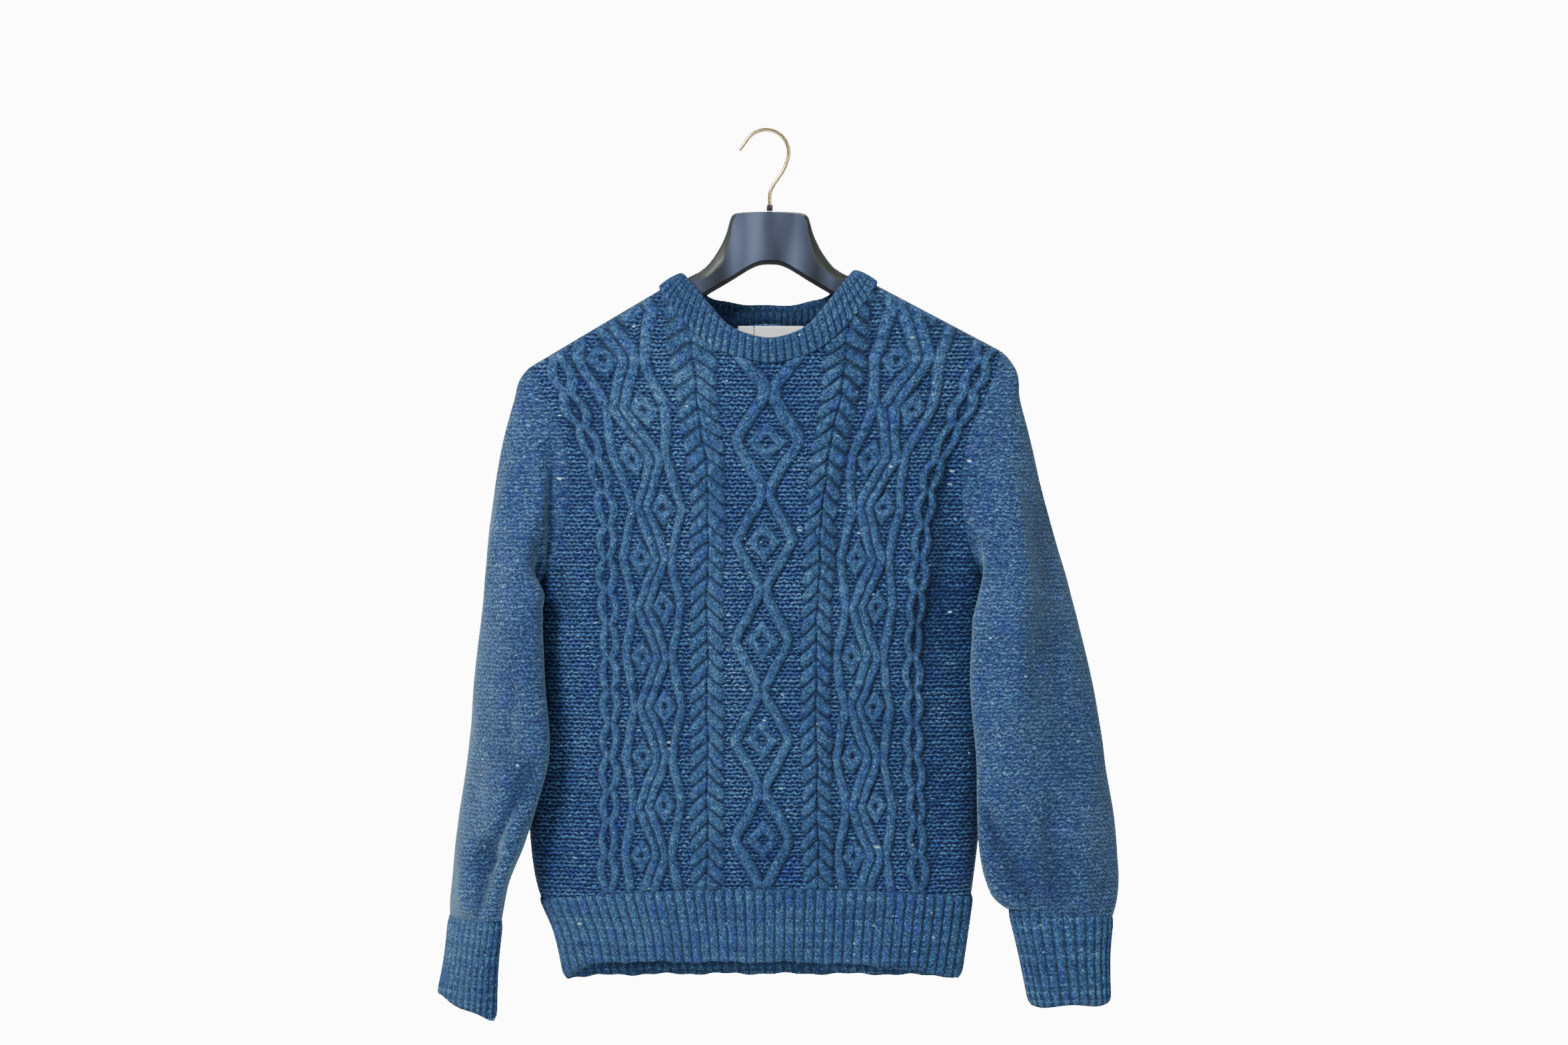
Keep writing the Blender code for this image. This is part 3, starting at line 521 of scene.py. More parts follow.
def cable_relief(offset, drop):
    """Height of the whole chart, with the place across and along whichever cord is on top."""
    offset, drop = handmade(offset, drop)
    strands = [(np.full(offset.shape, 0.02), offset, drop)]
    for cable, *places in CABLES:
        strands += cable(offset, drop, *places)
    heights, across, along = (np.stack([strand[i] for strand in strands]) for i in range(3))
    top = heights.argmax(axis=0)[None]
    height, across, along = (np.take_along_axis(values, top, axis=0)[0]
                             for values in (heights, across, along))
    plump = 1.3 + 0.1 * np.sin(drop / 6.1 + offset / 3.7) + 0.08 * np.sin(drop / 3.3 - offset / 5)
    return height * plump, across, along


def blurred(values, reach):
    """Mean over a square window of a grid, that many cells each way."""
    for axis in (0, 1):
        padded = np.concatenate([np.repeat(values.take([0], axis), reach + 1, axis), values,
                                 np.repeat(values.take([-1], axis), reach, axis)], axis)
        total = np.cumsum(padded, axis=axis)
        size = values.shape[axis]
        values = (total.take(range(2 * reach + 1, 2 * reach + 1 + size), axis)
                  - total.take(range(size), axis)) / (2 * reach + 1)
    return values


# Panels
LANE_END = 1.13


def panel_lanes(count):
    """Columns across a panel: within 1 they cross the chart, and past it they run to the edge."""
    return np.linspace(-LANE_END, LANE_END, count)


def lane_x(lane, drop):
    """Where a column lies at a drop: fanned with the chart, then spread to the edge."""
    inside = np.clip(lane, -1, 1)
    beyond = np.clip((np.abs(lane) - 1) / (LANE_END - 1), 0, 1)
    sign = np.where(lane < 0, -1, 1)
    edge = np.where(lane < 0, panel_edge(-1, drop), panel_edge(1, drop))
    chart_edge = chart_x(sign * CHART_HALF, drop)
    limit = sign * np.minimum(sign * chart_edge, sign * edge - 2.5)
    x = np.where(beyond > 0, limit + beyond * (edge - limit),
                 chart_x(inside * CHART_HALF, drop))
    return sign * np.minimum(sign * x, sign * edge)


def panel_places(side, lanes, rows):
    """x and drop over a panel, its rows spread between its top and the welt."""
    top = np.full(len(lanes), 200.0)
    bottom = np.full(len(lanes), WELT_TOP)
    for _ in range(60):
        top = 0.5 * top + 0.5 * panel_top(side, lane_x(lanes, top))
        bottom = welt_top(lane_x(lanes, bottom))
    drop = top + (bottom - top) * np.linspace(0, 1, rows)[:, None]
    return lane_x(np.broadcast_to(lanes, drop.shape), drop), drop, top, bottom


def knit_place(x, drop):
    """Place on the knitting: stitches across and courses up."""
    return np.stack([x / STITCH, -drop / COURSE], axis=-1)


def even_looks(place, cord=0.0, painted_shade_and_black_rim=0.0):
    """Looks of a face that has one pattern all over, with no cords unless they are given."""
    none = 0 * place[..., 0]
    return {"ground": place, "strand": place, "cord": none + cord, "painted_shade_and_black_rim": none + painted_shade_and_black_rim}


def panel_lift(places, creases, shift):
    """How far creases and slow waves lift a panel, none at all along its edges."""
    x, drop, top, bottom = places
    edge_away = np.minimum(x - panel_edge(-1, drop), panel_edge(1, drop) - x)
    calm = np.clip(edge_away / 14, 0, 1)
    for away in (drop - top, bottom - drop):
        calm = calm * np.clip(away / 16, 0, 1)
    return calm * (creased(creases, x, drop) + uneven(x + shift, drop))


def front_panel(count, rows):
    """Grids of the front: outer points with the cables, inner points, and the looks."""
    places = panel_places(FRONT, panel_lanes(count + 1), rows + 1)
    x, drop, top, bottom = places
    offset = (x - smooth(CHART["centre"], drop)) / smooth(CHART["spread"], drop)
    height, across, along = cable_relief(offset, drop)
    height = height * (np.clip((drop - top) / 5, 0, 1) * np.clip((bottom - drop) / 4, 0, 1))
    lift = panel_lift(places, FRONT_CREASES, 0)
    # Painted shade beside the cords, where the chart around stands higher, and in the folds that
    # sink
    shade_beside_cords = (blurred(height, 3) - height) / 1.6
    looks = {
        "ground": knit_place(x, drop),
        "strand": np.stack([across / CORD_STITCH, -along / COURSE], axis=-1),
        "cord": np.clip(height / 1.6, 0, 1),
        "painted_shade_and_black_rim": np.clip(shade_beside_cords + np.clip(-lift / DARK_DEPTH, 0, FRONT_SHADE), 0, 1),
    }
    return on_body(FRONT, x, drop, WALL + height + lift), on_body(FRONT, x, drop, lift), looks


def back_panel(count, rows):
    """Grids of the back, in plain reverse stockinette, and the looks."""
    places = panel_places(BACK, panel_lanes(count + 1), rows + 1)
    x, drop = places[:2]
    lift = panel_lift(places, BACK_CREASES, 90)
    return (on_body(BACK, x, drop, WALL + lift), on_body(BACK, x, drop, lift),
            even_looks(knit_place(x, drop)))


# Ribs
def rib_profile(phase, groove):
    """Height of a rib's crest, 0 in the groove at whole numbers of phase."""
    from_groove = 0.5 - np.abs(phase % 1 - 0.5)
    return 1 - np.exp(-(from_groove / groove) ** 2)


def rib_looks(phase, drop, pitch, groove):
    """Looks of ribs: knit stitches on each crest and painted shade in the grooves."""
    phase, drop = np.broadcast_arrays(phase, drop)
    crest = rib_profile(phase, groove)
    across = (phase % 1 - 0.5) * pitch
    return {"ground": knit_place(phase * pitch, drop),
            "strand": np.stack([across / RIB_STITCH, -drop / COURSE], axis=-1),
            "cord": np.ones_like(crest), "painted_shade_and_black_rim": np.clip(0.85 - 1.5 * crest, 0, 1)}


def even_shares(side, drop, count):
    """Places across a section, an equal way apart along its curve."""
    turn = np.linspace(-1, 1, 801) * math.pi / 2
    x = np.where(turn < 0, -panel_edge(-1, drop), panel_edge(1, drop)) * np.sin(turn)
    points, _ = body_surface(side, x, drop)
    along = np.concatenate([[0], np.cumsum(np.linalg.norm(np.diff(points, axis=0), axis=1))])
    return np.interp(np.linspace(0, along[-1], count), along, np.sin(turn))


def welt_panel(side, per_rib, rows):
    """Grids of one half of the ribbed hem, gathered at its seam and rounded at its edge."""
    count = WELT_RIBS * per_rib
    shares = even_shares(side, WELT_TOP, count + 1)
    phase = np.linspace(0, WELT_RIBS, count + 1)
    level = np.linspace(0, 1, rows + 1)[:, None]

    def across(drop):
        return np.where(shares < 0, -panel_edge(-1, drop), panel_edge(1, drop)) * shares

    top = welt_top(across(WELT_TOP)) - JOIN_OVERLAP
    wander = 0.8 * np.sin(phase * 0.9) + 0.5 * np.sin(phase * 2.3 + 1)
    sag = FRONT_HEM_SAG * np.abs(shares) ** np.where(shares < 0, *FRONT_HEM_POWERS)
    hem = wander + (FRONT_HEM + sag if side == FRONT else BACK_HEM)
    drop = top + level * (hem - top)
    rounding = 1 - np.exp(-(1 - level) * (hem - top) / 2.2) * 0.8
    looks = rib_looks(phase, drop, WELT_PITCH, WELT_GROOVE)
    gathered = np.clip(level * 12 + 0.35, 0, 1)
    rise = RIB_HEIGHT * rib_profile(phase, WELT_GROOVE) * rounding * gathered
    lift = 0.6 * uneven(across(drop), 3 * drop) * np.clip(level * 3, 0, 1)
    lift *= np.clip((1 - np.abs(shares)) / 0.1, 0, 1)
    outer = on_body(side, across(drop), drop, 0.6 * WALL + 0.4 * WALL * rounding + rise + lift)
    return outer, on_body(side, across(drop), drop, lift), looks


# Tubes
def along_edge(edge, count):
    """Points an even way apart along a polyline."""
    lengths = np.linalg.norm(np.diff(edge, axis=0), axis=1)
    along = np.concatenate([[0], np.cumsum(lengths)])
    places = np.linspace(0, along[-1], count)
    return np.stack([np.interp(places, along, edge[:, i]) for i in range(3)], axis=1)


def around(front_edge, back_edge, count):
    """Closed ring of points along a front edge and back along the matching back edge."""
    half = count // 2
    return np.concatenate([along_edge(front_edge, half + 1)[:-1],
                           along_edge(back_edge, half + 1)[::-1][:-1]])


def armhole_edge(side, sign, out):
    """Armhole edge of a panel, from the shoulder tip to the underarm."""
    tip = panel_places(side, np.array([LANE_END * sign]), 2)[2][0]
    drop = np.linspace(tip, UNDERARM, 300)
    return on_body(side, panel_edge(sign, drop), drop, out)


def neck_line(side, out):
    """Neckline edge of a panel from one neck corner to the other."""
    x = NECK_MIDDLE + NECK_HALF * np.sin(np.linspace(-1, 1, 400) * math.pi / 2)
    return on_body(side, x, panel_top(side, x), out)


EDGE_NAMES = {FRONT: "front_edge", BACK: "back_edge"}


def neck_ring(half_width, out, count):
    """Ring round the neck on the body's surface, a given way below the ridge."""
    parts = []
    for side, way in ((FRONT, 1), (BACK, -1)):
        share = np.sin(way * np.linspace(-1, 1, count // 2 + 1)[:-1] * math.pi / 2)
        x = NECK_MIDDLE + half_width * share
        drop = ridge_drop(x) + np.maximum(smooth(NECK[EDGE_NAMES[side]], np.abs(share)), 0)
        parts.append(on_body(side, x, drop, out[:count // 2] if side == FRONT
                             else out[count // 2:]))
    return np.concatenate(parts)


def neckband_grid(per_rib, steps):
    """Rings of the folded neckband and the looks on them."""
    count = NECK_RIBS * per_rib
    phase = np.arange(count + 1) / per_rib
    crest = rib_profile(phase[:-1], NECK_GROOVE)
    seam = around(neck_line(FRONT, 0), neck_line(BACK, 0), count)
    half = count // 2
    facing = np.concatenate([body_surface(FRONT, seam[:half, 0], -seam[:half, 2])[1],
                             body_surface(BACK, seam[half:, 0], -seam[half:, 2])[1]])
    top_inner = neck_ring(NECK_EDGE_HALF, 0 * crest, count)
    top_outer = neck_ring(NECK_EDGE_HALF + 1, NECK_WALL + 0.7 * NECK_RIB_HEIGHT * crest, count)
    rise = top_inner - seam
    rise /= np.linalg.norm(rise, axis=1, keepdims=True)
    seam_inner = seam + rise * SEWN_GAP
    seam_outer = (seam - rise * NECK_OVERLAP
                  + facing * (NECK_WALL - 1 + NECK_RIB_HEIGHT * crest)[:, None])
    rings = [seam - rise * (NECK_OVERLAP + 0.9) + facing * (WALL + 0.1 + 0.5 * crest)[:, None]]
    for t in np.linspace(0, 1, steps):
        bulge = 0.9 * math.sin(math.pi * t) + 0.5 * math.sin(math.pi * t) ** 0.3
        rings.append(seam_outer + (top_outer - seam_outer) * 0.94 * t + facing * bulge)
    last = rings[-1]
    for turn in (0.25, 0.5, 0.75):
        angle = math.pi * turn
        middle = (last + top_inner) / 2
        lip = (last - top_inner) / 2 * math.cos(angle)
        rings.append(middle + lip + rise * 2.2 * math.sin(angle))
    for t in np.linspace(0, 1, steps // 2):
        rings.append(top_inner + (seam_inner - top_inner) * t
                     - facing * (0.5 * NECK_RIB_HEIGHT * crest[:, None] * math.sin(math.pi * t)))
    rows = len(rings) + 1
    band = 2.2 * np.linspace(0, rows, rows)[:, None]
    looks = rib_looks(phase, band, NECK_PITCH, NECK_GROOVE)
    # The inside of the band's back half gets painted shade, as it lies in the shade of the front
    inside = np.clip((np.arange(rows) - steps - 2) / 3, 0, 1)[:, None]
    inside = inside * (half <= np.arange(count + 1))
    looks["painted_shade_and_black_rim"] = np.maximum(looks["painted_shade_and_black_rim"], 0.75 * inside)
    return closed_rings(np.array(rings)), looks


def closed_round(rings):
    """Rings that each end with their first point, so that a grid over them closes round."""
    return np.concatenate([rings, rings[:, :1]], axis=1)


def closed_rings(rings):
    """Rings repeated at the end, round and along, so that a grid over them closes."""
    return closed_round(np.concatenate([rings, rings[:1]]))


def tube_section(table, arm, drop, turns, wall):
    """Level section of a sleeve: an ellipse turned in plan to fill its outer and inner lines."""
    outer, inner = smooth(table["outer"], drop), smooth(table["inner"], drop)
    long = smooth(table["half_long"], drop) - wall
    short = smooth(table["half_short"], drop) - wall
    half = abs(outer - inner) / 2 - wall
    cos = math.sqrt(np.clip((half ** 2 - short ** 2) / (long ** 2 - short ** 2), 0, 1))
    sin = math.sqrt(1 - cos ** 2)
    long_axis = np.array([-arm * cos, -sin])
    short_axis = np.array([arm * sin, -cos])
    start = math.atan2(short * sin, -long * cos)
    turns = start - turns - UNDERARM_TWIST * (1 - np.cos(turns)) / 2
    level = (np.cos(turns)[:, None] * long * long_axis
             + np.sin(turns)[:, None] * short * short_axis)
    slant = smooth(table["slant"], drop) * -arm * level[:, 0] / half
    return np.column_stack([(outer + inner) / 2 + level[:, 0],
                            smooth(table["middle_y"], drop) + level[:, 1],
                            -(drop + slant)])


def tube_facing(rings, arm):
    """Way out of a tube at each point of its rings."""
    round_way = np.roll(rings, -1, axis=1) - np.roll(rings, 1, axis=1)
    down_way = np.gradient(rings, axis=0)
    facing = arm * np.cross(round_way, down_way)
    return facing / np.linalg.norm(facing, axis=-1, keepdims=True)


def sleeve_cap(arm, level, turns, steps):
    """Inner rings of a sleeve from the armhole seam down to its first level section."""
    seam = around(armhole_edge(FRONT, arm, 0), armhole_edge(BACK, arm, 0), len(turns))
    seam = seam + np.array([arm * SEWN_GAP, 0, 0])
    over = np.cos(turns / 2) ** 2
    rings = [seam]
    for i in range(1, steps):
        s = i / steps
        z = seam[:, 2] + s ** (1.6 - 0.6 * over) * (level[:, 2] - seam[:, 2])
        z += CAP_PUFF * math.sin(math.pi * s) * (1 - over) ** 2
        line = smooth(CAP_LINES[arm]["outer"], -z[0]) - arm * WALL
        follow = np.clip((line - seam[0, 0]) / (level[0, 0] - seam[0, 0]), 0, 1)
        x_share = over * follow + (1 - over) * (1 - (1 - s) ** 2)
        x = seam[:, 0] + x_share * (level[:, 0] - seam[:, 0])
        x += arm * CAP_HOLLOW * math.sin(math.pi * s) * (1 - over)
        y = seam[:, 1] + s ** 1.5 * (level[:, 1] - seam[:, 1])
        rings.append(np.column_stack([x, y, z]))
    return rings


def sleeve_grid(arm, count, cap_steps, rows):
    """Rings down a sleeve's outer face and back up its inner one, with the looks."""
    turns = np.arange(count) * 2 * math.pi / count
    table = SLEEVES[arm]
    first, last = table["outer"][0][0], table["outer"][-1][0]
    level = tube_section(table, arm, first, turns, WALL)
    inner = np.array(sleeve_cap(arm, level, turns, cap_steps)
                     + [tube_section(table, arm, drop, turns, WALL)
                        for drop in np.linspace(first, last, rows)])
    facing = tube_facing(inner, arm)
    facing[-1, :, 2] = 0
    x, drop = inner[..., 0], -inner[..., 2]
    away = (np.degrees(turns)[None] - smooth(FOLDS[arm]["turn"], drop)) / FOLD_WIDTH
    lift = smooth(FOLDS[arm]["height"], drop) * np.exp(-away ** 2)
    ahead = np.clip(-facing[..., 1] * 2 + 0.3, 0, 1)
    behind = np.clip(facing[..., 1] * 2 + 0.3, 0, 1)
    row = np.arange(len(inner))[:, None]
    calm = np.clip(row / 9, 0, 1) * np.clip((len(inner) - 1 - row) / 7, 0, 1)
    calm = calm * np.clip((arm * facing[..., 0] + 0.9) / 0.5, 0, 1)
    lift += calm * (ahead * creased(SLEEVE_CREASES[arm], x, drop)
                    + behind * creased(SLEEVE_BACK_CREASES[arm], x, drop)
                    + 0.8 * uneven(x + 40 * facing[..., 1], drop))
    inner = inner + facing * lift[..., None]
    close = np.exp(-((drop - HUG_DROP) / HUG_REACH) ** 2)
    close *= np.clip((-inner[..., 1] - 16) / 12, 0, 1)
    close *= np.clip((0.2 - arm * facing[..., 0]) / 0.6, 0, 1)
    inner[..., 0] -= arm * HUG[arm] * close
    outer = inner + facing * WALL
    seam = around(armhole_edge(FRONT, arm, WALL), armhole_edge(BACK, arm, WALL), count)
    outer[0] = seam + np.array([arm * SEWN_GAP, 0, 0])
    inner[0] = inner[0] - facing[0] * lift[0][:, None]
    rings = closed_rings(np.concatenate([outer, inner[::-4][:-1], inner[:1]]))
    girth = np.cumsum(np.linalg.norm(np.diff(rings, axis=1), axis=-1), axis=1)
    girth = np.concatenate([0 * girth[:, :1], girth], axis=1) / girth[:, -1:]
    looks = even_looks(knit_place(girth * SLEEVE_STITCHES * STITCH, -rings[..., 2]))
    # Painted shade in the sleeve's folds, deeper where they sink
    looks["painted_shade_and_black_rim"][:len(outer), :-1] = np.clip(-lift / DARK_DEPTH, 0, SLEEVE_SHADE)
    looks["painted_shade_and_black_rim"][:, -1] = looks["painted_shade_and_black_rim"][:, 0]
    return rings, looks


def cuff_grid(arm, per_rib, rows):
    """Rings of a ribbed cuff, gathered at its seam and rounded at its edge, with the looks."""
    count = CUFF_RIBS * per_rib
    turns = np.arange(count) * 2 * math.pi / count
    table = CUFFS[arm]
    first, last = table["outer"][0][0], table["outer"][-1][0]
    inner = np.array([tube_section(table, arm, drop, turns, WALL)
                      for drop in np.linspace(first, last, rows)])
    inner[0, :, 2] += JOIN_OVERLAP
    facing = tube_facing(inner, arm)
    facing[..., 2] = 0
    phase = np.arange(count + 1) / per_rib
    level = np.linspace(0, 1, rows)[:, None]
    rounding = 1 - 0.8 * np.exp(-(1 - level) * (last - first) / 2.2)
    gathered = np.clip(level * 8 + 0.25, 0, 1)
    rise = CUFF_RIB_HEIGHT * rib_profile(phase[:-1], CUFF_GROOVE) * rounding * gathered
    inner[..., 2] += 1.1 * np.sin(turns * 5 + arm) * level
    outer = inner + facing * (WALL * (0.6 + 0.4 * rounding) + rise)[..., None]
    rings = closed_rings(np.concatenate([outer, inner[::-3], inner[:1]]))
    return rings, rib_looks(phase, -rings[..., 2], CUFF_PITCH, CUFF_GROOVE)


# Meshes
def placed(name, data):
    """Puts a mesh, a curve, a camera or a lamp in the scene."""
    made = bpy.data.objects.new(name, data)
    bpy.context.scene.collection.objects.link(made)
    return made


def set_looks(mesh, looks, rows, across):
    """Puts the looks of a grid on a mesh, by each vertex's row and column in the grid."""
    corner = np.zeros(len(mesh.loops), np.int32)
    mesh.loops.foreach_get("vertex_index", corner)
    for name in ("ground", "strand"):
        layer = mesh.uv_layers.new(name=name)
        layer.uv.foreach_set("vector", looks[name][rows, across][corner].astype(np.float32).ravel())
    for name in ("cord", "painted_shade_and_black_rim"):
        values = mesh.attributes.new(name, "FLOAT", "POINT")
        values.data.foreach_set("value", looks[name][rows, across].astype(np.float32))


def piece_from(name, bm, material, node):
    """Ends a bmesh as one piece that stands for a node of the frame."""
    bmesh.ops.recalc_face_normals(bm, faces=bm.faces)
    mesh = bpy.data.meshes.new(name)
    bm.to_mesh(mesh)
    bm.free()
    mesh.shade_smooth()
    mesh.materials.append(material)
    piece = placed(name, mesh)
    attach(piece, "root")
    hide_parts(node)
    return piece


def laid_on(bm, faces, looks, merge):
    """Moves a flat grid's vertices to their places on the outer or the inner face."""
    outer, inner = faces
    rows, across = outer.shape[0] - 1, outer.shape[1] - 1
    mesh = bpy.data.meshes.new("pattern")
    bm.to_mesh(mesh)
    bm.free()
    flat = np.zeros(len(mesh.vertices) * 3)
    mesh.vertices.foreach_get("co", flat)
    flat = flat.reshape(-1, 3)
    i = np.rint((flat[:, 0] + 1) / 2 * across).astype(int)
    j = np.rint((1 - flat[:, 1]) / 2 * rows).astype(int)
    places = np.where(flat[:, 2:] < -0.5, inner[j, i], outer[j, i]) * MM
    mesh.vertices.foreach_set("co", places.ravel())
    set_looks(mesh, looks, j, i)
    shaped = bmesh.new()
    shaped.from_mesh(mesh)
    bpy.data.meshes.remove(mesh)
    if merge:
        bmesh.ops.remove_doubles(shaped, verts=shaped.verts, dist=1e-6)
    return shaped


def cloth_sheet(name, outer, inner, looks, material, slot, lining=4):
    """One open sheet of cloth: a fine outer face, a coarser inner one and the rim between."""
    rows, across = outer.shape[0] - 1, outer.shape[1] - 1
    bm = bmesh.new()
    bmesh.ops.create_grid(bm, x_segments=across, y_segments=rows, size=1)
    bmesh.ops.create_grid(bm, x_segments=across // lining, y_segments=rows // lining, size=1,
                          matrix=Matrix.Translation((0, 0, -1)))
    coarse = [e for e in bm.edges if e.is_boundary and e.verts[0].co.z < -0.5]
    bmesh.ops.subdivide_edges(bm, edges=coarse, cuts=lining - 1)
    rims = [e for e in bm.edges if e.is_boundary]
    bmesh.ops.bridge_loops(bm, edges=rims)
    return piece_from(name, laid_on(bm, (outer, inner), looks, False), material, name)


def tube_piece(name, rings, looks, material, slot, node):
    """A piece over closed rings, which for cloth run down its outer face and up its inner one."""
    bm = bmesh.new()
    bmesh.ops.create_grid(bm, x_segments=rings.shape[1] - 1, y_segments=rings.shape[0] - 1, size=1)
    return piece_from(name, laid_on(bm, (rings, rings), looks, True), material, node)


# Materials
def linear(code):
    """sRGB hex colour as linear values, opaque."""
    parts = [int(code[i:i + 2], 16) / 255 for i in (1, 3, 5)]
    return (*(c / 12.92 if c <= 0.04045 else ((c + 0.055) / 1.055) ** 2.4 for c in parts), 1.0)


def grey(value):
    """Opaque grey of a linear value."""
    return (value, value, value, 1.0)


def feed(tree, node, inputs):
    """Gives a node's inputs what a dict says: a socket is linked and a value is set."""
    for key, value in inputs.items():
        if isinstance(value, bpy.types.NodeSocket):
            tree.links.new(value, node.inputs[key])
        else:
            node.inputs[key].default_value = value


def add(tree, kind, *inputs, out=0, stops=(), **settings):
    """Adds a node with its settings and links, and gives one of its outputs.

    The kind is a node's name or, in capitals, the operation of a maths node. Inputs stand in
    their order or in a dict, and stops are the (place, colour) rows of a colour ramp.
    """
    made = tree.nodes.new("ShaderNode" + ("Math" if kind.isupper() else kind))
    if kind.isupper():
        settings["operation"] = kind
    for name, value in settings.items():
        setattr(made, name, value)
    by_name = bool(inputs) and isinstance(inputs[0], dict)
    feed(tree, made, inputs[0] if by_name else dict(enumerate(inputs)))
    if stops:
        elements = made.color_ramp.elements
        for _ in stops[2:]:
            elements.new(0.5)
        for element, stop in zip(elements, stops):
            element.position, element.color = stop
    return made.outputs[out]


# What a Mix node is told, to mix colours
COLOURS = {"out": 2, "data_type": "RGBA"}


def new_material(name):
    """A material, its node tree and its surface shader."""
    made = bpy.data.materials.new(name)
    made.use_nodes = True
    return made, made.node_tree, made.node_tree.nodes["Principled BSDF"]


def purl_height(tree, place):
    """Rows of purl bumps, each a short arch: 0 between them and up to 1 on their tops."""
    u, v, _ = add(tree, "SeparateXYZ", place).node.outputs
    row = add(tree, "ROUND", v)
    along = add(tree, "MULTIPLY_ADD", row, 0.5, u)
    from_middle = add(tree, "SUBTRACT", add(tree, "FRACT", along), 0.5)
    arch = add(tree, "MULTIPLY_ADD", add(tree, "MULTIPLY", from_middle, from_middle), -4.0, 1.0)
    away = add(tree, "SUBTRACT", add(tree, "SUBTRACT", v, row), 0.1)
    away = add(tree, "DIVIDE", add(tree, "MULTIPLY_ADD", arch, -0.3, away), 0.36)
    away = add(tree, "ADD", away, 0.45)
    crest = add(tree, "MULTIPLY_ADD", add(tree, "MULTIPLY", away, away), -1.0, 1.0)
    loop = add(tree, "CombineXYZ", add(tree, "FLOOR", along), row)
    loop = add(tree, "TexWhiteNoise", {"Vector": loop})
    size = add(tree, "MULTIPLY", add(tree, "MULTIPLY_ADD", arch, 0.6, 0.4),
               add(tree, "MULTIPLY_ADD", loop, 0.6, 0.65))
    return add(tree, "MULTIPLY", add(tree, "MAXIMUM", crest, 0.0), size)


def knit_height(tree, place):
    """Columns of knit stitches, whose legs run together into fibres drawn out along a cord."""
    u, v, _ = add(tree, "SeparateXYZ", place).node.outputs
    leg = add(tree, "ABSOLUTE", add(tree, "MULTIPLY_ADD", add(tree, "FRACT", u), 2, -1))
    row = add(tree, "MULTIPLY_ADD", leg, -0.6, v)
    crest = add(tree, "COSINE", add(tree, "MULTIPLY", row, 2 * math.pi))
    crest = add(tree, "MULTIPLY_ADD", crest, 0.5, 0.5)
    lay = add(tree, "CombineXYZ",
              add(tree, "MULTIPLY_ADD", v, 1.15, add(tree, "MULTIPLY", leg, 2.7)),
              add(tree, "MULTIPLY", v, 0.42),
              add(tree, "MULTIPLY", add(tree, "FLOOR", u), 7))
    fibres = add(tree, "TexNoise", {"Vector": lay, "Scale": 1.0, "Detail": 4.0, "Roughness": 0.62})
    fibres = add(tree, "MULTIPLY_ADD", fibres, 5.2, -2.15)
    fibres = add(tree, "MINIMUM", add(tree, "MAXIMUM", fibres, 0.0), 1.15)
    return add(tree, "MULTIPLY_ADD", crest, 0.25, add(tree, "MULTIPLY", fibres, 0.75))


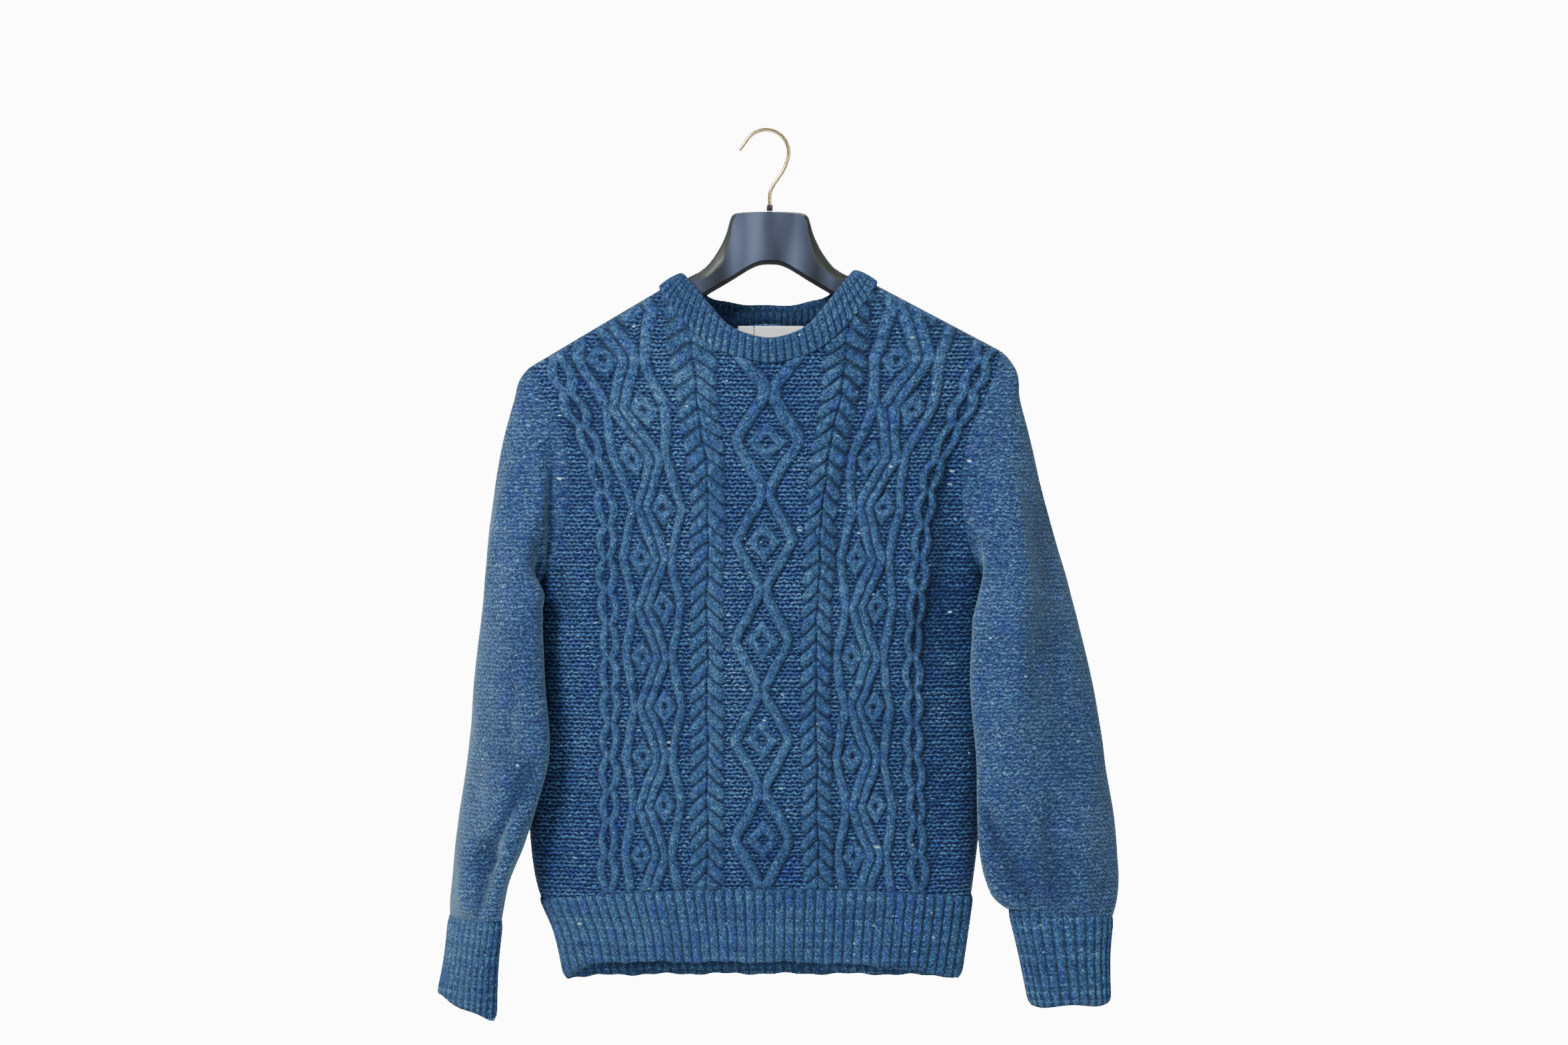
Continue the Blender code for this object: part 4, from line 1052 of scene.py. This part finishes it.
# A scale on an Object vector is a pattern's repeats to the metre, so 760 is one of 1.3 mm. The
# comments give the real size of each pattern. On a UV map, 1 is a stitch across or a course up.
def wool_material(name, light, middle, dark, depth=1.0):
    """Tweed wool, for the eye: heathered denim blues, with painted shade between the stitches, and
    pale neps.

    The depth says how sharp the stitches are: 1 is crisp knitting, and less is wool brushed up
    into a soft nap, with a lighter sheen and paler flecks.
    """
    made, tree, shader = new_material(name)
    where = add(tree, "TexCoord", out="Object")

    # Stitches: the yarn wobbles every 4.3 mm, so that no row of them is quite straight
    wobble = add(tree, "TexNoise", {"Vector": where, "Scale": 230.0, "Detail": 2.0}, out="Color")
    wobble = add(tree, "VectorMath", wobble, (0.5, 0.5, 0.5), operation="SUBTRACT")
    heights = []
    for uv, maker, amount in (("ground", purl_height, 1.25 / depth), ("strand", knit_height, 0.9)):
        place = add(tree, "UVMap", uv_map=uv)
        moved = add(tree, "VectorMath", wobble, (amount,) * 3, place, operation="MULTIPLY_ADD")
        heights.append(maker(tree, moved))
    purls, legs = heights
    cord = add(tree, "Attribute", attribute_name="cord", out="Fac")
    painted_shade_and_black_rim = add(tree, "Attribute", attribute_name="painted_shade_and_black_rim", out="Fac")

    # Heather: fibres 1.3 mm apart of several blues in one yarn, streaks of yarn that change
    # along a course, and patches of 70 mm
    fibres = add(tree, "TexNoise", {"Vector": where, "Scale": 760.0, "Detail": 4.0,
                                    "Roughness": 0.75})
    course = add(tree, "UVMap", uv_map="ground")
    streak = add(tree, "VectorMath", course, (0.11, 0.8, 1.0), operation="MULTIPLY")
    streak = add(tree, "TexNoise", {"Vector": streak, "Scale": 1.0, "Detail": 3.0})
    patches = add(tree, "TexNoise", {"Vector": where, "Scale": 14.0, "Detail": 2.0})
    streaked = 0.3 * depth
    tone = add(tree, "MULTIPLY", fibres, 1.3)
    tone = add(tree, "MULTIPLY_ADD", streak, streaked, tone)
    tone = add(tree, "MULTIPLY_ADD", patches, 0.22, tone)
    tone = add(tree, "SUBTRACT", tone, 0.26 + 0.5 * streaked)
    colour = add(tree, "ValToRGB", tone, stops=((0.3, linear(dark)), (0.46, linear(middle)),
                                                (0.56, linear(middle)), (0.7, linear(light))))

    # Tints in the yarn: teal specks of 2.3 mm, pale flecks about 7 mm long that slant over the
    # courses, and violet blooms of 17 mm
    u, v, _ = add(tree, "SeparateXYZ", course).node.outputs
    slanted = add(tree, "CombineXYZ", add(tree, "MULTIPLY", add(tree, "ADD", u, v), 2.1),
                  add(tree, "MULTIPLY", add(tree, "SUBTRACT", u, v), 0.75))
    for place, scale, detail, low, high, share, tint in (
            (where, 430.0, 2.0, 0.52, 0.66, 0.5, "#3C86A6"),
            (slanted, 1.0, 2.0, 0.52, 0.64, 0.95 - 0.65 * depth, light),
            (where, 60.0, 3.0, 0.53, 0.7, 0.32, "#3A3CB4")):
        mask = add(tree, "TexNoise", {"Vector": place, "Scale": scale, "Detail": detail})
        mask = add(tree, "ValToRGB", mask, stops=((low, grey(0)), (high, grey(1))))
        mask = add(tree, "MULTIPLY", mask, share)
        colour = add(tree, "Mix", {0: mask, 6: colour, 7: linear(tint)}, **COLOURS)

    # Painted shade: the crevices between stitches, the ground beside the cords, the rib grooves and
    # the folds are darkened towards navy, where they would hold little light
    purl_light = add(tree, "MULTIPLY_ADD", purls, 1.15 * depth, 0.03 + 0.42 * (1 - depth))
    leg_light = add(tree, "MULTIPLY_ADD", legs, 1.3, 0.06)
    lit = add(tree, "Mix", {0: cord, 2: purl_light, 3: leg_light})
    lit = add(tree, "MULTIPLY", lit, add(tree, "MULTIPLY_ADD", painted_shade_and_black_rim, -0.75, 1.0))
    colour = add(tree, "Mix", {0: lit, 6: linear("#080F33"), 7: colour}, **COLOURS)

    # Neps: small knots drawn out along the courses, at most one to every 9.5 mm, mostly pale
    # and a few of them violet
    drawn = add(tree, "VectorMath", where, (0.55, 1.0, 1.15), operation="MULTIPLY")
    drawn = add(tree, "VectorMath", wobble, (0.0022,) * 3, drawn, operation="MULTIPLY_ADD")
    cells = add(tree, "TexVoronoi", {"Vector": drawn, "Scale": 105.0, "Randomness": 1.0})
    pick, girth, bright = add(tree, "SeparateColor", cells.node.outputs["Color"]).node.outputs
    spot = add(tree, "LESS_THAN", cells, add(tree, "MULTIPLY_ADD", girth, 0.1, 0.045))
    pale = add(tree, "MULTIPLY", spot, add(tree, "GREATER_THAN", pick, 0.72))
    violet = add(tree, "MULTIPLY", spot, add(tree, "LESS_THAN", pick, 0.08))
    for knot, share, tint in ((pale, add(tree, "MULTIPLY_ADD", bright, 0.6, 0.25), "#B4ECFA"),
                              (violet, 0.6, "#3B3FC0")):
        share = add(tree, "MULTIPLY", knot, share)
        colour = add(tree, "Mix", {0: share, 6: colour, 7: linear(tint)}, **COLOURS)

    # Relief: purls and legs, with a fuzz of 0.7 mm and the neps on them
    fuzz = add(tree, "TexNoise", {"Vector": where, "Scale": 1500.0, "Detail": 3.0,
                                  "Roughness": 0.7})
    relief = add(tree, "Mix", {0: cord, 2: purls, 3: add(tree, "MULTIPLY_ADD", legs, 0.5, 0.3)})
    relief = add(tree, "MULTIPLY_ADD", fuzz, 0.4, relief)
    relief = add(tree, "MULTIPLY_ADD", pale, 0.5, relief)
    bump = add(tree, "Bump", {"Strength": 1.0, "Distance": 1.5 * depth * MM, "Height": relief})
    feed(tree, shader, {"Base Color": colour, "Normal": bump, "Roughness": 0.95,
                        "Sheen Weight": 0.2 + (1 - depth), "Sheen Roughness": 0.4,
                        "Sheen Tint": linear("#A8CCD8"), "Specular IOR Level": 0.12})
    return made


def hanger_plastic():
    """Glossy blue-black moulding: painted reflections and soft gloss in streaks, an olive bevel and
    a black rim.
    """
    made, tree, shader = new_material("moulded blue-black plastic")
    where = add(tree, "TexCoord", out="Object")
    # Painted reflections in tall streaks that lighten the face colour, and gloss that varies with
    # them, 33 mm across and 140 mm high, over a grain of 2.4 mm
    reflection_and_gloss_streaks = add(tree, "VectorMath", where, (30.0, 10.0, 7.0), operation="MULTIPLY")
    reflection_and_gloss_streaks = add(tree, "TexNoise", {"Vector": reflection_and_gloss_streaks, "Scale": 1.0, "Detail": 1.5})
    grain = add(tree, "TexNoise", {"Vector": where, "Scale": 420.0, "Detail": 2.0})
    olive = add(tree, "Attribute", attribute_name="cord", out="Fac")
    # On the hanger this attribute holds only the black rim, which is the moulding's own colour
    rim = add(tree, "Attribute", attribute_name="painted_shade_and_black_rim", out="Fac")
    face = add(tree, "ValToRGB", reflection_and_gloss_streaks, stops=((0.36, linear("#1A1F28")), (0.52, linear("#333A4D")),
                                               (0.66, linear("#4C576E"))))
    face = add(tree, "Mix", {0: olive, 6: face, 7: linear("#23281F")}, **COLOURS)
    face = add(tree, "Mix", {0: rim, 6: face, 7: linear("#0B0C10")}, **COLOURS)
    rough = add(tree, "ValToRGB", reflection_and_gloss_streaks, stops=((0.3, grey(0.24)), (0.8, grey(0.4))))
    rough = add(tree, "Mix", {0: olive, 6: rough, 7: grey(0.6)}, **COLOURS)
    bump = add(tree, "Bump", {"Strength": 0.12, "Distance": 0.1 * MM, "Height": grain})
    feed(tree, shader, {"Base Color": face, "Roughness": rough, "Normal": bump, "Coat Weight": 0.12,
                        "Coat Roughness": 0.2, "Specular IOR Level": 0.5})
    return made


def speckled(name, scale, detail, tones, roughness, **sockets):
    """Plain surface with a grain in its tone, and in its roughness where that is a pair."""
    made, tree, shader = new_material(name)
    where = add(tree, "TexCoord", out="Object")
    grain = add(tree, "TexNoise", {"Vector": where, "Scale": scale, "Detail": detail})
    low, high = (linear(tone) for tone in tones)
    colour = add(tree, "ValToRGB", grain, stops=((0.3, low), (0.7, high)))
    if isinstance(roughness, tuple):
        low, high = (grey(value) for value in roughness)
        roughness = add(tree, "ValToRGB", grain, stops=((0.3, low), (0.8, high)))
    feed(tree, shader, {"Base Color": colour, "Roughness": roughness, **sockets})
    return made


def label_ribbon():
    """Off-white woven ribbon, blank, with a line of dark stitches near one end."""
    made, tree, shader = new_material("woven label ribbon")
    u, v, _ = add(tree, "SeparateXYZ", add(tree, "UVMap", uv_map="ground")).node.outputs
    # Warp and weft of about 0.55 mm, over the 62 x 26 mm of the ribbon
    warp = add(tree, "SINE", add(tree, "MULTIPLY", u, 700.0))
    weft = add(tree, "SINE", add(tree, "MULTIPLY", v, 300.0))
    weave = add(tree, "MULTIPLY_ADD", add(tree, "MULTIPLY", warp, weft), 0.5, 0.5)
    cloth = add(tree, "ValToRGB", weave, stops=((0.0, linear("#E6E5DF")), (1.0, linear("#FFFFFD"))))
    # The line is 1.1 mm wide and its stitches are 2.9 mm apart
    near = add(tree, "ABSOLUTE", add(tree, "SUBTRACT", u, 0.24))
    dash = add(tree, "LESS_THAN", add(tree, "FRACT", add(tree, "MULTIPLY", v, 9.0)), 0.8)
    stitched = add(tree, "MULTIPLY", add(tree, "LESS_THAN", near, 0.009), dash)
    cloth = add(tree, "Mix", {0: stitched, 6: cloth, 7: linear("#2B3440")}, **COLOURS)
    bump = add(tree, "Bump", {"Strength": 0.5, "Distance": 0.2 * MM, "Height": weave})
    feed(tree, shader, {"Base Color": cloth, "Normal": bump, "Roughness": 0.7, "Sheen Weight": 0.2})
    return made


# Hanger
def hanger_outline(rel):
    """Top and underside of the hanger at a way from its middle."""
    far = abs(rel)
    x = HANGER_X + rel
    reach = far / ARM_REACH
    top = (float(ridge_drop(x)) + HANGER_GAP if far > COLLAR_REACH
           else float(smooth(COLLAR["top"], far)))
    if far > ARCH["under"][-1][0]:
        return top, top + ARM_HEIGHT + (ARM_TIP_HEIGHT - ARM_HEIGHT) * reach ** 3
    return top, float(smooth(ARCH["under"], far))


def hanger_ring(rel):
    """Cross-section: toothed top, bevel, flat face, groove and lower rim, with their looks."""
    top, under = hanger_outline(rel)
    reach = abs(rel) / ARM_REACH
    half = HANGER_HALF_DEPTH * (1 - (1 - HANGER_TIP_HALF_DEPTH / HANGER_HALF_DEPTH) * reach ** 2)
    steep = abs(hanger_outline(rel + 0.5)[0] - hanger_outline(rel - 0.5)[0])
    bevel = min(1.5 + 7.0 * min(steep, 2.2) if abs(rel) < COLLAR_REACH else 9.5,
                0.5 * (under - top))
    olive = min(1.0, 1.6 * steep)
    tooth = 0.0
    if TEETH_FROM < abs(rel) < TEETH_TO:
        tooth = TOOTH_HEIGHT * (0.5 + 0.5 * math.cos(2 * math.pi * abs(rel) / TOOTH_PITCH))
    # Way out from the middle, drop, and how olive and how black it is, down one side
    side = [(0.0, top - tooth, 0, 0), (0.35 * half, top - tooth + 0.1 * bevel, 0, 0),
            (0.62 * half, top + 0.35 * bevel, olive, 0), (0.93 * half, top + 0.9 * bevel, olive, 0),
            (half, top + bevel, olive, 0), (half, top + 1.35 * bevel, 0, 0),
            (half, under - 3.8, 0, 0), (half - 0.5, under - 3.4, 0, 1),
            (half + 0.5, under - 3.0, 0, 1), (half + 0.9, under - 2.5, 0, 1),
            (half + 0.9, under - 0.6, 0, 1), (half + 0.3, under, 0, 1)]
    x = HANGER_X + rel
    ring = [(x, -y, -drop) for y, drop, *_ in side] + [(x, y, -drop) for y, drop, *_ in side[:0:-1]]
    return ring, [looks[2:] for looks in side + side[:0:-1]]


def build_hanger(plastic):
    """The moulded hanger, drawn out along its two arms, with rings close together at its teeth."""
    places = np.concatenate([np.arange(0, 30, 2.5), np.arange(30, 62, 1.1),
                             np.arange(62, 76.3, 0.29), np.arange(77, 200, 6), [201, 205]])
    rels = np.concatenate([-places[:0:-1], places])
    rings, tones = (list(part) for part in zip(*(hanger_ring(float(rel)) for rel in rels)))
    ends = [[tuple(np.mean(rings[i], axis=0))] * len(rings[0]) for i in (0, -1)]
    rings = closed_round(np.array([ends[0]] + rings + [ends[1]]))
    tones = closed_round(np.array([tones[0]] + tones + [tones[-1]], float))
    looks = even_looks(0 * tones, tones[..., 0], tones[..., 1])
    piece = tube_piece("hanger_arms", rings, looks, plastic, "hanger", "hanger_body")
    piece.data.set_sharp_from_angle(angle=math.radians(32))
    return piece


def wire_mesh(name, route, radius):
    """Round wire along a smooth route, closed at both ends, as a bmesh."""
    curve = bpy.data.curves.new(name, "CURVE")
    curve.dimensions = "3D"
    curve.bevel_depth = radius * MM
    curve.bevel_resolution = 6
    curve.resolution_u = 6
    curve.use_fill_caps = True
    spline = curve.splines.new("BEZIER")
    spline.bezier_points.add(len(route) - 1)
    for point, (x, z) in zip(spline.bezier_points, route):
        point.co = (x * MM, 0, z * MM)
        point.handle_left_type = point.handle_right_type = "AUTO"
    holder = placed(name, curve)
    bpy.context.view_layer.update()
    mesh = bpy.data.meshes.new_from_object(holder.evaluated_get(
        bpy.context.evaluated_depsgraph_get()))
    bpy.data.objects.remove(holder)
    bm = bmesh.new()
    bm.from_mesh(mesh)
    bmesh.ops.remove_doubles(bm, verts=bm.verts, dist=1e-6)
    bpy.data.meshes.remove(mesh)
    return bm


def build_hook(brass):
    """Bent wire: a short straight tip, an arc over the seat, and down to the stem."""
    start, end = HOOK_ARC
    arc = [(HOOK_CENTRE[0] + HOOK_RADIUS * math.cos(math.radians(angle)),
            HOOK_CENTRE[1] + HOOK_RADIUS * math.sin(math.radians(angle)))
           for angle in np.linspace(start, end, 14)]
    stem_end = COLLAR["top"][0][1] - HANGER_GAP - FERRULE_HEIGHT - HANGER_GAP
    route = list(HOOK_TIP) + arc + list(HOOK_STEM) + [(HANGER_X, -stem_end)]
    piece = piece_from("hook_wire", wire_mesh("hook_wire", route, WIRE_RADIUS), brass,
                       "hanger_hook")
    piece.data.set_sharp_from_angle(angle=math.radians(50))
    return piece


def build_ferrule(plastic):
    """Small knurled collar between the wire and the hanger."""
    bm = bmesh.new()
    bmesh.ops.create_cone(bm, cap_ends=True, segments=64, radius1=FERRULE_RADIUS * MM,
                          radius2=FERRULE_RADIUS * MM, depth=FERRULE_HEIGHT * MM)
    for vert in bm.verts:
        if round(math.atan2(vert.co.y, vert.co.x) / math.pi * 32) % 2:
            vert.co.x *= 0.92
            vert.co.y *= 0.92
    bmesh.ops.bevel(bm, geom=[e for e in bm.edges if abs(e.verts[0].co.z - e.verts[1].co.z) < 1e-9],
                    offset=0.25 * MM, segments=2, affect="EDGES", profile=0.5, material=-1)
    top = COLLAR["top"][0][1]
    bmesh.ops.translate(bm, verts=bm.verts,
                        vec=(HANGER_X * MM, 0, -(top - HANGER_GAP - FERRULE_HEIGHT / 2) * MM))
    piece = piece_from("hook_ferrule", bm, plastic, "hanger_ferrule")
    piece.data.set_sharp_from_angle(angle=math.radians(30))
    return piece


def build_label(ribbon):
    """Blank woven label inside the back of the neck, just below the band."""
    width, height = LABEL_SIZE
    across = np.linspace(-width / 2, width / 2, 41) + LABEL_CENTRE_X
    level = np.linspace(0, 1, 17)[:, None]
    drop = panel_top(BACK, LABEL_CENTRE_X) + LABEL_DROP + level * height + 0 * across
    lift = np.clip(np.minimum(level, 1 - level) * 14, 0, 1) * (0.25 + 0.15 * np.sin(across / 6))
    outer = on_body(BACK, across, drop, -LABEL_CLEAR - LABEL_THICKNESS - lift)
    inner = on_body(BACK, across, drop, -LABEL_CLEAR)
    place = np.stack(np.broadcast_arrays(np.linspace(0, 1, 41), level), axis=-1)
    return cloth_sheet("neck_label", outer, inner, even_looks(place), ribbon, "label", lining=2)


# The setting
def build_camera():
    """Camera square to the front, from which the garment fills the frame."""
    camera = placed("camera", bpy.data.cameras.new("camera"))
    camera.data.lens = CAMERA_LENS
    camera.data.sensor_width = CAMERA_SENSOR
    camera.location = CAMERA_PLACE
    camera.rotation_euler = (math.radians(90), 0, 0)
    bpy.context.scene.camera = camera


def build_floor():
    """Round white floor, well below the hem."""
    bm = bmesh.new()
    bmesh.ops.create_circle(bm, cap_ends=True, segments=96, radius=FLOOR_RADIUS)
    bmesh.ops.translate(bm, verts=bm.verts, vec=(0, 0, -FLOOR_DROP))
    mesh = bpy.data.meshes.new("floor")
    bm.to_mesh(mesh)
    bm.free()
    # Matt white paper, with a drift of tone over 330 mm that keeps it from looking flat
    mesh.materials.append(speckled("matt studio floor", 3.0, 2.0, ("#EDEDEB", "#F5F5F3"), 0.9))
    placed("floor", mesh)


def build_lamp(name, place, size, power):
    """Round soft lamp, turned to the garment."""
    light = bpy.data.lights.new(name, "AREA")
    light.shape = "DISK"
    light.size = size
    light.energy = power
    holder = placed(name, light)
    holder.location = place
    way = np.array(LAMP_TARGET) - np.array(place)
    flat = math.hypot(way[0], way[1])
    holder.rotation_euler = (math.atan2(flat, -way[2]), 0, math.atan2(way[1], way[0]) - math.pi / 2)


def build_lights():
    """White surround and the lamps."""
    world = bpy.data.worlds.new("white studio")
    world.use_nodes = True
    tree = world.node_tree
    seen = add(tree, "LightPath", out="Is Camera Ray")
    bright = add(tree, "MULTIPLY_ADD", seen, SEEN_WHITE - SOFT_LIGHT, SOFT_LIGHT)
    feed(tree, tree.nodes["Background"], {"Color": grey(1), "Strength": bright})
    bpy.context.scene.world = world
    for name, lamp in LAMPS.items():
        build_lamp(name, *lamp)


build_camera()
build_floor()
build_lights()

wool = wool_material("tweed wool knit", "#7EB4D6", "#34538A", "#1B2058")
brushed = wool_material("brushed tweed wool knit", "#7FA9C8", "#375389", "#1F2859", depth=0.6)
plastic = hanger_plastic()
# Half-dull dark grey moulding, its tone broken by a grit of 1.1 mm
knurled = speckled("knurled grey plastic", 900.0, 2.0, ("#18181B", "#2B2B2F"), 0.5)
# Bright plated wire, with drawing marks of 1.9 mm in its tone and its shine
brass = speckled("bright brass wire", 520.0, 3.0, ("#BFA35A", "#F3E4B4"), (0.14, 0.3), Metallic=1.0)

front = cloth_sheet("front", *front_panel(count=300, rows=300), wool, "wool")
back = cloth_sheet("back", *back_panel(count=120, rows=120), wool, "wool")
for side, name in ((FRONT, "welt_front"), (BACK, "welt_back")):
    cloth_sheet(name, *welt_panel(side, per_rib=8, rows=28), wool, "wool")
sleeves, cuffs = {}, {}
for arm, end in ((RIGHT_ARM, "_right"), (LEFT_ARM, "_left")):
    grid = sleeve_grid(arm, count=144, cap_steps=60, rows=90)
    sleeves[arm] = tube_piece("sleeve" + end, *grid, brushed, "wool", "sleeve" + end)
    grid = cuff_grid(arm, per_rib=8, rows=24)
    cuffs[arm] = tube_piece("cuff" + end, *grid, wool, "wool", "cuff" + end)
grid = neckband_grid(per_rib=9, steps=12)
neckband = tube_piece("neckband", *grid, wool, "wool", "neckband")
label = build_label(label_ribbon())
build_hanger(plastic)
build_ferrule(knurled)
build_hook(brass)
